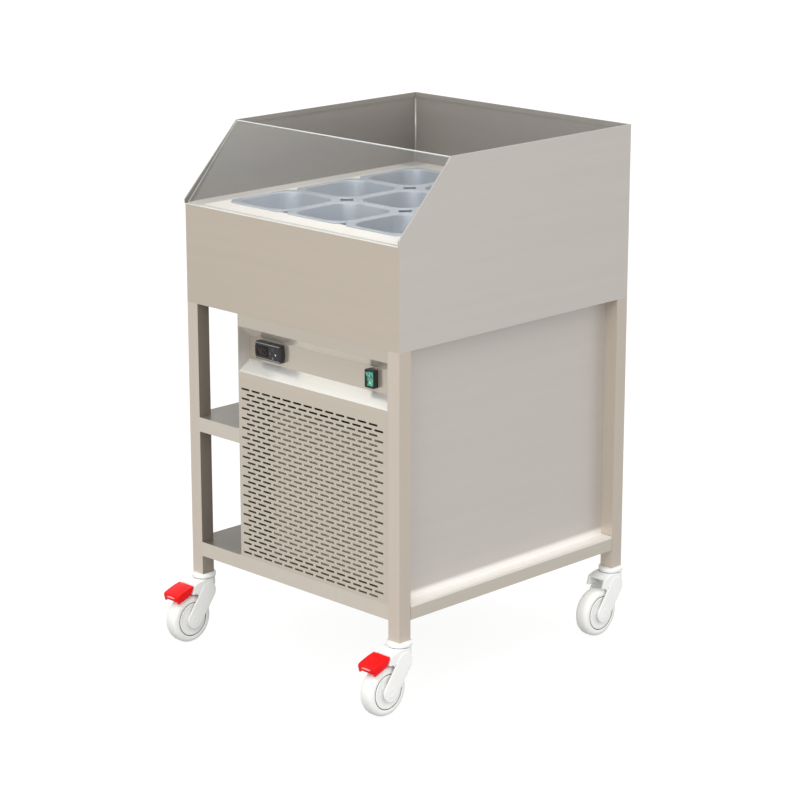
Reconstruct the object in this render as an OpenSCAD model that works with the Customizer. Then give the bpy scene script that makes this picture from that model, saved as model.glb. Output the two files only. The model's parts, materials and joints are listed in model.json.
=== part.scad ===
// Mobile salad bar: a stainless trolley with nine lift-out pans in a cold well, a sneeze screen,
// two open storage bays and a refrigeration unit behind a slotted grille.
// +Z is up, -Y is the serving front with the screen, X runs along the front.
// The origin is on the floor, under the centre of the whole trolley with its castors.

/* [Body] */
// Width of the trolley over its side panels
body_w = 600; // [560:1:700]
// Depth of the trolley over its front and back panels
body_d = 650; // [620:1:760]
// Height of the deck's top face above the floor
deck_h = 911; // [900:1:960]
// Height of the guard panels' top edge above the floor
guard_h = 1062; // [1030:1:1150]
// Room between the well's insulation and the skirt's lower edge
skirt_room = 8; // [4:1:30]
// Thickness of the stainless sheet
sheet_t = 1.5; // [1:0.1:2]
// How far the guard's sloped front edge runs back at its top
slope_d = 137; // [80:1:200]
// Height of the guard's upright front edge above the deck
guard_lip = 9; // [4:0.5:20]
// How far the guard's front edge stands out past the front panel
guard_proud = 2.5; // [1:0.5:6]
// Height of the folded safe edge along the guard
hem_h = 10; // [6:1:16]
// Width of the skirt's turned-in lower flange
flange_w = 32; // [31:0.5:40]

/* [Frame] */
// Side of the square leg tube
leg_w = 30; // [25:1:31]
// Wall of the leg tube
leg_wall = 2; // [1.5:0.1:3]
// Height of the bottom shelf's top face above the floor
bottom_shelf_h = 210; // [190:1:230]
// Height of the middle shelf's top face above the floor
middle_shelf_h = 475; // [400:1:560]
// Depth of the shelves' turned-down edge
fold_h = 30; // [20:1:40]
// Width of the return lip under a shelf's turned-down edge
lip_w = 12; // [8:1:18]
// Width of the open storage bay
bay_w = 150; // [100:1:160]

/* [Control panel] */
// Height of the upper lip above the dished recess
recess_lip_h = 24; // [16:1:40]
// Depth of the dished recess
recess_d = 30; // [20:1:36]
// Drop of the recess's upper slope
recess_drop = 24; // [14:1:34]
// Height of the recess's upright panel
recess_panel_h = 48; // [44:1:70]
// Rise of the recess's lower slope
recess_rise = 20; // [12:1:30]

/* [Grille] */
// Length of one slot
slot_l = 24; // [16:1:26]
// Height of one slot
slot_h = 4; // [3:0.5:6]
// Distance between slots along a row
slot_pitch = 30; // [28:1:40]
// Distance between rows
row_pitch = 10; // [8:1:14]
// Plain border beside the slots
grille_border = 6.5; // [5:0.5:30]
// Plain border above the slots
grille_top_border = 34; // [20:1:60]

/* [Pans] */
// Size of a pan's rim along X
pan_w = 162; // [140:1:176]
// Size of a pan's rim along Y
pan_l = 176; // [150:1:190]
// Depth of a pan below the deck
pan_depth = 150; // [60:1:155]
// Gap between two pans' rims
pan_gap = 1.5; // [1:0.1:3]
// Width of a pan's rim
rim_w = 10; // [8:0.5:14]
// Thickness of a pan's rim
rim_t = 2.7; // [1.5:0.1:4]
// Outer corner radius of a pan's rim
rim_r = 16; // [8:1:24]
// Corner radius of a pan's mouth
mouth_r = 40; // [20:1:50]
// Wall of a pan
pan_wall = 2; // [1:0.1:3]
// How much narrower a pan is at its floor, on each side
pan_taper = 10; // [4:1:16]
// Gap between the pans' bodies and the deck's opening
pan_room = 0.5; // [0.3:0.1:2]

/* [Cold well] */
// Sheet of the well's liner
liner_t = 1; // [0.8:0.1:2]
// Room between the rims' field and the liner, on each side
liner_room = 5; // [2:0.5:10]
// Air below the pans
well_air = 18; // [10:1:25]
// Thickness of the insulation
foam_t = 24; // [15:1:24]
// Height of the coil's lowest turn above the liner's floor
coil_low = 30; // [20:1:40]
// Radius of the cooling coil's tube
coil_r = 5; // [3:0.5:6]
// Number of turns of the cooling coil
coil_turns = 3; // [2:1:4]
// Distance between the coil's turns
coil_pitch = 40; // [20:1:45]
// Width of the divider bars between the pans
bar_w = 9; // [6:0.5:12]
// Height of the divider bars
bar_h = 10; // [6:0.5:16]

/* [Sneeze screen] */
// Thickness of the clear screen
glass_t = 4; // [3:0.5:6]
// How far the screen's foot stands back from the front panel
glass_foot = 3; // [1:0.5:20]

/* [Castors] */
// Height of a castor, from the floor to the leg
castor_h = 140; // [136:1:160]
// Radius of a wheel
wheel_r = 50; // [44:0.5:52]
// Width of a wheel
wheel_w = 31; // [24:0.5:34]
// Distance from the swivel axis to the wheel's axle
trail = 45; // [36:0.5:50]
// Radius of the round plate under the leg
collar_r = 25; // [24:0.5:30]
// Thickness of the round plate
collar_t = 10; // [6:0.5:14]
// Thickness of a fork arm
arm_t = 7; // [5:0.5:9]
// Room between the wheel and a fork arm
arm_room = 1.5; // [1:0.1:3]
// Radius of the fork arm's round end
arm_end_r = 16; // [12:0.5:20]
// Height of the fork's head
head_h = 25; // [20:0.5:27]
// Radius of the axle
axle_r = 6; // [4:0.5:8]
// Radius of the swivel pin
kingpin_r = 6; // [5:0.5:8]
// Height of the plug that holds the castor in its leg
plug_h = 35; // [20:1:60]
// Width of the brake pedal
pedal_w = 44; // [30:1:46]
// Travel of the brake pedal, in degrees
pedal_travel = 12; // [6:1:12]

/* [Controls] */
// Width of the controller's face
ctrl_w = 76; // [70:1:90]
// Height of the controller's face
ctrl_h = 36; // [32:1:40]
// How far the controller stands out of its panel
ctrl_out = 13; // [6:0.5:16]
// Distance from the controller's centre to the unit's left side
ctrl_inset = 67; // [60:1:120]
// Radius of a button
button_r = 3; // [2:0.1:4]
// Travel of a button
button_travel = 0.8; // [0.3:0.1:1.5]
// Distance of each button from the middle of the four
button_ring = 8; // [7:0.5:10]
// Width of the switch
switch_w = 25; // [20:1:30]
// Height of the switch
switch_h = 36; // [30:1:40]
// How far the switch stands out of its panel
switch_out = 12; // [8:0.5:14]
// Distance from the switch's centre to the unit's right side
switch_inset = 69; // [40:1:120]
// Tilt of the switch's rocker at rest, in degrees
rocker_tilt = 8; // [4:1:10]

/* [Cooling machine] */
// Gap between the recess's panel and the condenser
condenser_gap = 2.5; // [1:0.5:10]
// Height of the condenser above the bottom shelf
condenser_foot = 15; // [6:1:40]
// Width and height of the condenser
condenser_w = 290; // [240:1:320]
// Depth of the condenser
condenser_d = 42; // [30:1:60]
// Radius of the fan's blades
fan_r = 120; // [90:1:128]
// Number of fan blades
fan_blade_count = 5; // [3:1:7]
// Radius of the fan motor
motor_r = 40; // [30:1:46]
// Distance from the front to the compressor's middle
compressor_in = 330; // [300:1:380]
// Distance from the unit's middle to the compressor's middle
compressor_side = 60; // [40:1:80]
// Radius of the compressor's shell
shell_r = 76; // [60:1:90]
// Height of the compressor's shell
shell_h = 165; // [140:1:190]
// Distance from the unit's middle to the cord gland
gland_side = 120; // [80:1:160]
// Distance from the back to the cord gland
gland_back = 70; // [50:1:100]
// Radius of the hole through the cord gland
gland_bore_r = 4.5; // [3:0.1:6]

/* [Fits] */
// Radial clearance of a shaft in its hole
shaft_fit = 0.05; // [0.02:0.01:0.1]
// Gap between faces of pieces that move apart
run_gap = 0.3; // [0.2:0.05:0.5]

/* [Hidden] */
$fn = 64;

// Plan of the trolley
front_reach = trail + wheel_r - leg_w / 2;
back_reach = collar_r - leg_w / 2;
front_y = -(body_d + front_reach + back_reach) / 2 + front_reach;
back_y = front_y + body_d;
mid_y = (front_y + back_y) / 2;
half_w = body_w / 2;
leg_x = half_w - leg_w / 2;
leg_front_y = front_y + leg_w / 2;
leg_back_y = back_y - leg_w / 2;

// Depth of the cold well, and the skirt that hides it
liner_floor = deck_h - pan_depth - well_air;
foam_bottom = liner_floor - liner_t - foam_t;
skirt_h = foam_bottom - skirt_room;

// Cooling unit's box
unit_x0 = -half_w + bay_w;
unit_x1 = half_w - leg_w;
unit_in_x0 = unit_x0 + sheet_t;
unit_in_x1 = unit_x1 - sheet_t;
unit_in_w = unit_in_x1 - unit_in_x0;
recess_top = skirt_h - recess_lip_h;
panel_top = recess_top - recess_drop;
panel_bottom = panel_top - recess_panel_h;
grille_top = panel_bottom - recess_rise;
panel_mid = (panel_top + panel_bottom) / 2;
panel_y = front_y + recess_d;

// Field of pans
pan_cols = 3;
pan_rows = 3;
pan_pitch_x = pan_w + pan_gap;
pan_pitch_y = pan_l + pan_gap;
field_w = pan_cols * pan_w + (pan_cols - 1) * pan_gap;
field_l = pan_rows * pan_l + (pan_rows - 1) * pan_gap;
rim_z = deck_h + run_gap;
rim_rest = rim_w - pan_wall - pan_room;
opening_w = field_w - 2 * rim_rest;
opening_l = field_l - 2 * rim_rest;
opening_r = rim_r;
mouth_w = pan_w - 2 * rim_w;
mouth_l = pan_l - 2 * rim_w;

// Cold well
deck_under = deck_h - sheet_t;
liner_w = field_w + 2 * liner_room;
liner_l = field_l + 2 * liner_room;
liner_lip = 12;
coil_gap = 0.3;
coil_off = coil_r + coil_gap;
coil_groove = 2 * coil_r + 2 * coil_gap;
coil_low_z = liner_floor + coil_low;
coil_bend_r = 3 * coil_r;
liner_r = coil_bend_r - coil_off;
foam_half_w = liner_w / 2 + foam_t;
foam_half_l = liner_l / 2 + foam_t;
coil_x = liner_w / 2 + liner_t + coil_off;
coil_y = liner_l / 2 + liner_t + coil_off;
coil_top_z = coil_low_z + (coil_turns - 1) * coil_pitch;
coil_tail_x = [60, 100];

// Guard's slope, as a line in the YZ plane
slope_foot = [front_y - guard_proud, deck_h + guard_lip];
slope_head = [front_y + slope_d, guard_h];
slope_len = norm(slope_head - slope_foot);
slope_dir = (slope_head - slope_foot) / slope_len;
slope_in = [slope_dir[1], -slope_dir[0]];
hem_foot = slope_foot + hem_h * slope_in;
hem_run = (guard_h - hem_h - hem_foot[1]) / slope_dir[1];
hem_head = hem_foot + hem_run * slope_dir;

// Castor
swivel_top = castor_h - collar_t - run_gap;
head_bottom = swivel_top - head_h;
axle_z = wheel_r;
arm_in = wheel_w / 2 + arm_room;
arm_out = arm_in + arm_t;
arm_top_r = 19;
arm_top_y = -4;
arm_top_drop = 23.7;
axle_head_r = 10;
axle_head_t = 3;
axle_seat = 2.5;
pin_head_r = kingpin_r + 4;
pin_head_h = 5;
hood_out = arm_out - 1.5;
hood_flat_y = -24;
hood_front_y = -43.5;
hood_front_drop = 6;
hood_slant = 6;
hood_wall_h = 19;
hood_t = 3;
pedal_pivot_y = -29;
pedal_pivot_z = swivel_top - 11;
pedal_pin_r = 2.5;
pedal_hub_r = 4;
pedal_arm_w = 20;
pedal_back_y = -46;
pedal_front_y = -89;
pedal_back_top = swivel_top - 6.7;
pedal_front_top = swivel_top - 18.7;
pedal_front_h = 16;
pedal_back_h = 15;
pedal_slant = 8;
pedal_clear = 1.5;
axle_y_from_pivot = -trail - pedal_pivot_y;

// Cooling machine
unit_mid_x = (unit_x0 + unit_x1) / 2;
condenser_y = panel_y + sheet_t + condenser_gap;
condenser_z = bottom_shelf_h + condenser_foot;
condenser_mid_z = condenser_z + condenser_w / 2;
shroud_y = condenser_y + condenser_d;
shroud_t = 1.5;
shroud_ring = 22;
tip_gap = 5;
fin_pitch = 10;
fin_t = 3;
fin_lap = 10;
bend_tube_r = 5;
bend_r = 14;
bend_count = 5;
bend_low = 35;
blade_in = 20;
blade_y = shroud_y + blade_in;
blade_t = 2;
blade_chord = 62;
blade_pitch = 26;
blade_root = 4;
hub_r = 26;
hub_l = 18;
motor_gap = 10;
motor_y = blade_y + hub_l / 2 + motor_gap;
motor_l = 52;
fan_shaft_r = 4;
strut_r = 3;
strut_in = 12;
strut_w = 12;
strut_y = motor_y + 14;
compressor_x = unit_mid_x + compressor_side;
compressor_y = front_y + compressor_in;
compressor_foot = 18;
plate_w = 200;
plate_l = 120;
plate_t = 3;
plate_edge = 15;
foot_r = 11;
bolt_r = 4.9;
shell_weld = 3;
shell_weld_h = 5;
shell_weld_z = shell_h * 0.6;
shell_dome = 30;
relay_w = 32;
relay_l = 48;
relay_h = 52;
relay_z = 62;
pipe_r = 4;
pipe_loop = 22;
pipe_side = 30;
pipe_back = 60;
pipe_rise = 30;
pipe_drop = 60;
dryer_r = 11;
dryer_l = 110;
gland_x = unit_mid_x - gland_side;
gland_y = back_y - gland_back;
gland_r = 10;
gland_nut = 3;
gland_nut_h = 8;
gland_cap_h = 12;
gland_top_h = 16;

// General helpers

// Box given by its lowest and highest corners
module block(low, high) {
    translate(low) cube(high - low);
}

// Upright sheet parallel to the side panels, cut from an outline in the YZ plane
module yz_sheet(x, thick, outline) {
    translate([x, 0, 0]) rotate([90, 0, 90]) linear_extrude(thick) polygon(outline);
}

// Rod along X, Y or Z from one point
module rod_x(from, r, len) {
    translate(from) rotate([0, 90, 0]) cylinder(r = r, h = len);
}

module rod_y(from, r, len) {
    translate(from) rotate([-90, 0, 0]) cylinder(r = r, h = len);
}

// Rectangle with round corners, centred
module round_rect(w, l, r) {
    square([w, l - 2 * r], center = true);
    square([w - 2 * r, l], center = true);
    for (sx = [-1, 1], sy = [-1, 1])
        translate([sx * (w / 2 - r), sy * (l / 2 - r)]) circle(r = r);
}

// Pipe through points whose runs follow the axes
module pipe_run(points, r) {
    for (i = [0 : len(points) - 2]) {
        a = points[i];
        b = points[i + 1];
        low = [min(a[0], b[0]), min(a[1], b[1]), min(a[2], b[2])];
        run = norm(b - a);
        if (a[0] != b[0]) rod_x(low, r, run);
        if (a[1] != b[1]) rod_y(low, r, run);
        if (a[2] != b[2]) translate(low) cylinder(r = r, h = run);
    }
    for (i = [1 : len(points) - 2]) translate(points[i]) sphere(r = r);
}

// Frame

module leg(x, y) {
    color("silver") difference() {
        block([x - leg_w / 2, y - leg_w / 2, castor_h], [x + leg_w / 2, y + leg_w / 2, skirt_h]);
        inner = leg_w / 2 - leg_wall;
        block([x - inner, y - inner, castor_h - 1], [x + inner, y + inner, skirt_h - leg_wall]);
    }
}

// Shelf with turned-down edges and a return lip, open at the legs' corners
module shelf(x0, x1, top, right_legs) {
    right_in = right_legs ? leg_w : 0;
    difference() {
        union() {
            block([x0, front_y, top - sheet_t], [x1, back_y, top]);
            difference() {
                block([x0, front_y, top - fold_h], [x1, back_y, top]);
                block([x0 + sheet_t, front_y + sheet_t, top - fold_h + sheet_t],
                      [x1 - sheet_t, back_y - sheet_t, top + 1]);
                block([x0 + lip_w, front_y + lip_w, top - fold_h - 1],
                      [x1 - lip_w, back_y - lip_w, top]);
            }
        }
        for (y = [front_y, back_y - leg_w])
            block([x0 - 1, y - 1, top - fold_h - 1], [x0 + leg_w, y + leg_w + 1, top + 1]);
        if (right_legs) for (y = [front_y, back_y - leg_w])
            block([x1 - leg_w, y - 1, top - fold_h - 1], [x1 + 1, y + leg_w + 1, top + 1]);
    }
}

module bottom_shelf() {
    color("gainsboro") difference() {
        shelf(-half_w, half_w, bottom_shelf_h, true);
        translate([gland_x, gland_y, bottom_shelf_h - fold_h])
            cylinder(r = gland_r + shaft_fit, h = fold_h + 1);
    }
}

module middle_shelf() {
    color("gainsboro") shelf(-half_w, unit_x0, middle_shelf_h, false);
}

// Skirt and guard

module front_panel() {
    color("silver") {
        block([-half_w + sheet_t, front_y, skirt_h], [half_w - sheet_t, front_y + sheet_t, deck_under]);
        block([-half_w + sheet_t, front_y, skirt_h],
              [half_w - sheet_t, front_y + flange_w, skirt_h + sheet_t]);
    }
}

module back_panel() {
    color("silver") {
        block([-half_w + sheet_t, back_y - sheet_t, skirt_h], [half_w - sheet_t, back_y, guard_h]);
        block([-half_w + sheet_t, back_y - flange_w, skirt_h],
              [half_w - sheet_t, back_y, skirt_h + sheet_t]);
        block([-half_w + 2 * sheet_t, back_y - 2 * sheet_t, guard_h - hem_h],
              [half_w - 2 * sheet_t, back_y, guard_h]);
    }
}

// side is -1 for the left panel and 1 for the right one
module side_panel(side) {
    outer = side < 0 ? -half_w : half_w - sheet_t;
    hem = side < 0 ? -half_w + sheet_t : half_w - 2 * sheet_t;
    flange_in = side < 0 ? -half_w : half_w - flange_w;
    color("silver") {
        yz_sheet(outer, sheet_t, [
            [front_y, skirt_h], [back_y, skirt_h], [back_y, guard_h], slope_head, slope_foot,
            [front_y - guard_proud, deck_h], [front_y, deck_h]
        ]);
        yz_sheet(hem, sheet_t, [
            slope_foot, slope_head, [back_y - sheet_t, guard_h], [back_y - sheet_t, guard_h - hem_h],
            hem_head, hem_foot
        ]);
        block([flange_in, front_y + flange_w, skirt_h],
              [flange_in + flange_w, back_y - flange_w, skirt_h + sheet_t]);
    }
}

// Deck, well and pans

module deck() {
    color("whitesmoke") difference() {
        union() {
            block([-half_w + sheet_t, front_y, deck_under], [half_w - sheet_t, back_y - sheet_t, deck_h]);
            translate([0, mid_y, deck_h - bar_h]) linear_extrude(bar_h)
                round_rect(opening_w + 2 * sheet_t, opening_l + 2 * sheet_t, opening_r + sheet_t);
        }
        translate([0, mid_y, deck_h - bar_h - 1]) linear_extrude(bar_h + 2)
            round_rect(opening_w, opening_l, opening_r);
    }
}

module well_liner() {
    color("lightgray") difference() {
        union() {
            translate([0, mid_y, liner_floor - liner_t]) linear_extrude(deck_under - liner_floor + liner_t)
                round_rect(liner_w + 2 * liner_t, liner_l + 2 * liner_t, liner_r);
            block([-liner_w / 2 - liner_lip, mid_y - liner_l / 2 - liner_lip, deck_under - liner_t],
                  [liner_w / 2 + liner_lip, mid_y + liner_l / 2 + liner_lip, deck_under]);
        }
        translate([0, mid_y, liner_floor]) linear_extrude(deck_h - liner_floor)
            round_rect(liner_w, liner_l, liner_r - liner_t);
    }
}

module well_insulation() {
    in_w = liner_w / 2 + liner_t;
    in_l = liner_l / 2 + liner_t;
    color("khaki") difference() {
        block([-foam_half_w, mid_y - foam_half_l, foam_bottom],
              [foam_half_w, mid_y + foam_half_l, deck_under - liner_t]);
        translate([0, mid_y, liner_floor - liner_t]) linear_extrude(deck_h - liner_floor)
            round_rect(2 * in_w, 2 * in_l, liner_r);
        for (i = [0 : coil_turns - 1]) {
            z = coil_low_z + i * coil_pitch;
            block([-in_w - coil_groove, mid_y - in_l - coil_groove, z - coil_groove / 2],
                  [in_w + coil_groove, mid_y + in_l + coil_groove, z + coil_groove / 2]);
        }
        for (x = coil_tail_x)
            block([x - coil_groove / 2, mid_y + in_l - 1, foam_bottom - 1],
                  [x + coil_groove / 2, mid_y + in_l + coil_groove, coil_top_z + coil_groove / 2]);
    }
}

// One turn of the coil: straight runs on four sides and a bend at each corner
module coil_turn() {
    for (s = [-1, 1]) {
        rod_x([-coil_x + coil_bend_r, mid_y + s * coil_y, 0], coil_r, 2 * (coil_x - coil_bend_r));
        rod_y([s * coil_x, mid_y - coil_y + coil_bend_r, 0], coil_r, 2 * (coil_y - coil_bend_r));
    }
    for (sx = [0, 1], sy = [0, 1]) mirror([sx, 0, 0]) translate([0, mid_y, 0]) mirror([0, sy, 0])
        translate([coil_x - coil_bend_r, coil_y - coil_bend_r, 0])
            rotate_extrude(angle = 90) translate([coil_bend_r, 0]) circle(r = coil_r);
}

module cooling_coil() {
    color("peru") {
        for (i = [0 : coil_turns - 1]) translate([0, 0, coil_low_z + i * coil_pitch]) coil_turn();
        for (x = coil_tail_x) translate([x, mid_y + coil_y, foam_bottom])
            cylinder(r = coil_r, h = coil_top_z - foam_bottom);
    }
}

module pan_bars() {
    color("dimgray") for (i = [1 : pan_cols - 1]) {
        x = (i - pan_cols / 2) * pan_pitch_x;
        block([x - bar_w / 2, mid_y - opening_l / 2, deck_h - bar_h],
              [x + bar_w / 2, mid_y + opening_l / 2, deck_h]);
    }
}

// Body of a pan: a box with round corners that narrows towards its floor
module pan_solid(w, l, r, taper, h) {
    low_r = r * (w / 2 - taper) / (w / 2);
    hull() {
        translate([0, 0, h - 0.01]) linear_extrude(0.01) round_rect(w, l, r, $fn = 48);
        linear_extrude(0.01) round_rect(w - 2 * taper, l - 2 * taper, low_r, $fn = 48);
    }
}

// Pan at a column and row, counted from the front left
module pan(col, row) {
    x = (col - (pan_cols - 1) / 2) * pan_pitch_x;
    y = mid_y + (row - (pan_rows - 1) / 2) * pan_pitch_y;
    slope = pan_taper / pan_depth;
    color("lightslategray") translate([x, y, 0]) difference() {
        union() {
            translate([0, 0, rim_z]) linear_extrude(rim_t) round_rect(pan_w, pan_l, rim_r);
            translate([0, 0, rim_z - pan_depth])
                pan_solid(mouth_w + 2 * pan_wall, mouth_l + 2 * pan_wall, mouth_r + pan_wall,
                          pan_taper, pan_depth + rim_t / 2);
        }
        translate([0, 0, rim_z - pan_depth + pan_wall])
            pan_solid(mouth_w + 2 * slope * rim_t, mouth_l + 2 * slope * rim_t, mouth_r,
                      pan_taper, pan_depth + 2 * rim_t - pan_wall);
    }
}

// Sneeze screen

module glass_screen() {
    inner_x = half_w - 2 * sheet_t - run_gap;
    foot = [front_y + glass_foot, deck_h + run_gap];
    head = slope_head;
    tilt = (head - foot) / norm(head - foot);
    across = glass_t * [tilt[1], -tilt[0]];
    toe = foot + [glass_t / tilt[1], 0];
    color("lightcyan", 0.4) yz_sheet(-inner_x, 2 * inner_x, [foot, toe, head + across, head]);
}

// Cooling unit's casing

module unit_left_wall() {
    color("silver") block([unit_x0, front_y, bottom_shelf_h], [unit_in_x0, back_y, skirt_h]);
}

module unit_right_panel() {
    color("silver") block([unit_in_x1, front_y, bottom_shelf_h], [unit_x1, back_y, skirt_h]);
}

module unit_back_panel() {
    vent_rows = 8;
    vent_cols = 5;
    vent_w = 56;
    vent_h = 6;
    vent_gap = 20;
    vent_low = 160;
    color("silver") difference() {
        block([unit_in_x0, back_y - sheet_t, bottom_shelf_h], [unit_in_x1, back_y, skirt_h]);
        for (c = [0 : vent_cols - 1], r = [0 : vent_rows - 1]) {
            x = unit_mid_x + (c - (vent_cols - 1) / 2) * (vent_w + vent_gap);
            z = bottom_shelf_h + vent_low + r * 4 * vent_h;
            block([x - vent_w / 2, back_y - 2 * sheet_t, z], [x + vent_w / 2, back_y + 1, z + vent_h]);
        }
    }
}

// Outline of the dished front, in the YZ plane
function fascia_line(back) = [
    [front_y + back, skirt_h], [front_y + back, recess_top], [panel_y + back, panel_top],
    [panel_y + back, panel_bottom], [front_y + back, grille_top]
];

module control_fascia() {
    front = fascia_line(0);
    back = fascia_line(sheet_t);
    color("silver") difference() {
        yz_sheet(unit_in_x0, unit_in_w, concat(front, [for (i = [len(back) - 1 : -1 : 0]) back[i]]));
        translate([controller_x, 0, controller_z]) control_cutout(ctrl_box_w, ctrl_box_h);
        translate([switch_x, 0, switch_z]) control_cutout(switch_box_w, switch_box_h);
    }
}

module control_cutout(w, h) {
    block([-w / 2, panel_y - 1, -h / 2], [w / 2, panel_y + 2 * sheet_t, h / 2]);
}

// One slot with round ends, centred
module slot() {
    square([slot_l - slot_h, slot_h], center = true);
    for (s = [-1, 1]) translate([s * (slot_l - slot_h) / 2, 0]) circle(d = slot_h);
}

module grille_panel() {
    stagger = slot_pitch / 2;
    cols = floor((unit_in_w - 2 * grille_border - slot_l - stagger) / slot_pitch) + 1;
    rows = floor((grille_top - bottom_shelf_h - grille_top_border) / row_pitch + 0.01);
    first_x = unit_in_x0 + grille_border + slot_l / 2;
    color("silver") translate([0, front_y + sheet_t, 0]) rotate([90, 0, 0]) linear_extrude(sheet_t)
        difference() {
            translate([unit_in_x0, bottom_shelf_h]) square([unit_in_w, grille_top - bottom_shelf_h]);
            for (r = [0 : rows - 1], c = [0 : cols - 1])
                translate([first_x + c * slot_pitch + (r % 2) * stagger,
                           bottom_shelf_h + (r + 1) * row_pitch]) slot();
        }
}

// Cooling machine

module condenser() {
    fin_count = floor(condenser_w / fin_pitch) - 1;
    x0 = unit_mid_x - condenser_w / 2;
    color("slategray") {
        translate([x0, condenser_y, condenser_z]) linear_extrude(condenser_w) union() {
            translate([-sheet_t, fin_lap]) square([condenser_w + 2 * sheet_t, condenser_d - 2 * fin_lap]);
            for (i = [1 : fin_count]) translate([i * fin_pitch, 0]) square([fin_t, condenser_d]);
        }
        for (x = [x0 - sheet_t, x0 + condenser_w])
            block([x, condenser_y, bottom_shelf_h], [x + sheet_t, shroud_y, condenser_z + condenser_w]);
    }
    color("peru") for (i = [0 : bend_count - 1])
        translate([x0 + condenser_w + sheet_t / 2, condenser_y + condenser_d / 2,
                   condenser_z + bend_low + i * 4 * bend_r])
            rotate([0, 90, 0]) rotate([90, 0, 0])
                rotate_extrude(angle = 180) translate([bend_r, 0]) circle(r = bend_tube_r);
}

module fan_shroud() {
    duct_r = fan_r + tip_gap;
    half = condenser_w / 2;
    color("dimgray") translate([unit_mid_x, shroud_y, condenser_mid_z]) rotate([-90, 0, 0]) difference() {
        union() {
            translate([-half, -half, 0]) cube([condenser_w, condenser_w, shroud_t]);
            cylinder(r = duct_r + shroud_t, h = shroud_ring);
        }
        translate([0, 0, -1]) cylinder(r = duct_r, h = shroud_ring + 2);
    }
}

module fan_motor() {
    reach = condenser_w / 2 - strut_in;
    post_y = shroud_y + shroud_t;
    color("darkslategray") {
        rod_y([unit_mid_x, motor_y, condenser_mid_z], motor_r, motor_l);
        rod_y([unit_mid_x, blade_y - hub_l / 2 - 2, condenser_mid_z], fan_shaft_r,
              motor_y - blade_y + hub_l / 2 + 3);
        for (sx = [-1, 1], sz = [-1, 1])
            rod_y([unit_mid_x + sx * reach, post_y, condenser_mid_z + sz * reach],
                  strut_r, strut_y - post_y + strut_r);
        for (turn = [45, 135]) translate([unit_mid_x, strut_y, condenser_mid_z]) rotate([0, turn, 0]) {
            strut_l = sqrt(2) * reach + strut_w / 2;
            translate([-strut_l, 0, -strut_w / 2]) cube([2 * strut_l, strut_r, strut_w]);
        }
    }
}

module fan_blades() {
    color("gray") translate([unit_mid_x, blade_y, condenser_mid_z]) rotate([-90, 0, 0]) difference() {
        union() {
            translate([0, 0, -hub_l / 2]) cylinder(r = hub_r, h = hub_l);
            intersection() {
                for (i = [0 : fan_blade_count - 1]) rotate([0, 0, i * 360 / fan_blade_count])
                    rotate([blade_pitch, 0, 0])
                        translate([hub_r - blade_root, -blade_chord / 2, -blade_t / 2])
                            cube([fan_r, blade_chord, blade_t]);
                translate([0, 0, -hub_l]) cylinder(r = fan_r, h = 2 * hub_l);
            }
        }
        translate([0, 0, -hub_l]) cylinder(r = fan_shaft_r + shaft_fit, h = 2 * hub_l);
    }
}

// Half outline of the compressor's shell, turned about its axis
function shell_line() = [
    [0, 0], [shell_r - 4 * shell_weld, 0], [shell_r - shell_weld, 2 * shell_weld],
    [shell_r, 5 * shell_weld], [shell_r, shell_weld_z], [shell_r + shell_weld, shell_weld_z],
    [shell_r + shell_weld, shell_weld_z + shell_weld_h], [shell_r, shell_weld_z + shell_weld_h],
    [shell_r, shell_h - shell_dome], [shell_r - shell_dome / 4, shell_h - shell_dome * 0.43],
    [shell_r - shell_dome * 0.75, shell_h - shell_dome * 0.13],
    [shell_r - shell_dome * 1.5, shell_h], [0, shell_h]
];

module compressor() {
    hole_x = plate_w / 2 - plate_edge;
    hole_y = plate_l / 2 - plate_edge;
    translate([compressor_x, compressor_y, bottom_shelf_h]) {
        color("black") translate([0, 0, compressor_foot]) {
            difference() {
                translate([-plate_w / 2, -plate_l / 2, 0]) cube([plate_w, plate_l, plate_t]);
                for (sx = [-1, 1], sy = [-1, 1]) translate([sx * hole_x, sy * hole_y, -1])
                    cylinder(r = bolt_r + shaft_fit, h = plate_t + 2);
            }
            translate([0, 0, plate_t]) rotate_extrude() polygon(shell_line());
            translate([-shell_r - relay_w * 0.7, -relay_l / 2, relay_z]) cube([relay_w, relay_l, relay_h]);
        }
        color("dimgray") for (sx = [-1, 1], sy = [-1, 1]) translate([sx * hole_x, sy * hole_y, 0]) {
            cylinder(r = foot_r, h = compressor_foot);
            cylinder(r = bolt_r, h = compressor_foot + 4 * plate_t);
            translate([0, 0, compressor_foot + plate_t]) cylinder(r = foot_r - 2, h = plate_t, $fn = 6);
        }
    }
}

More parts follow.
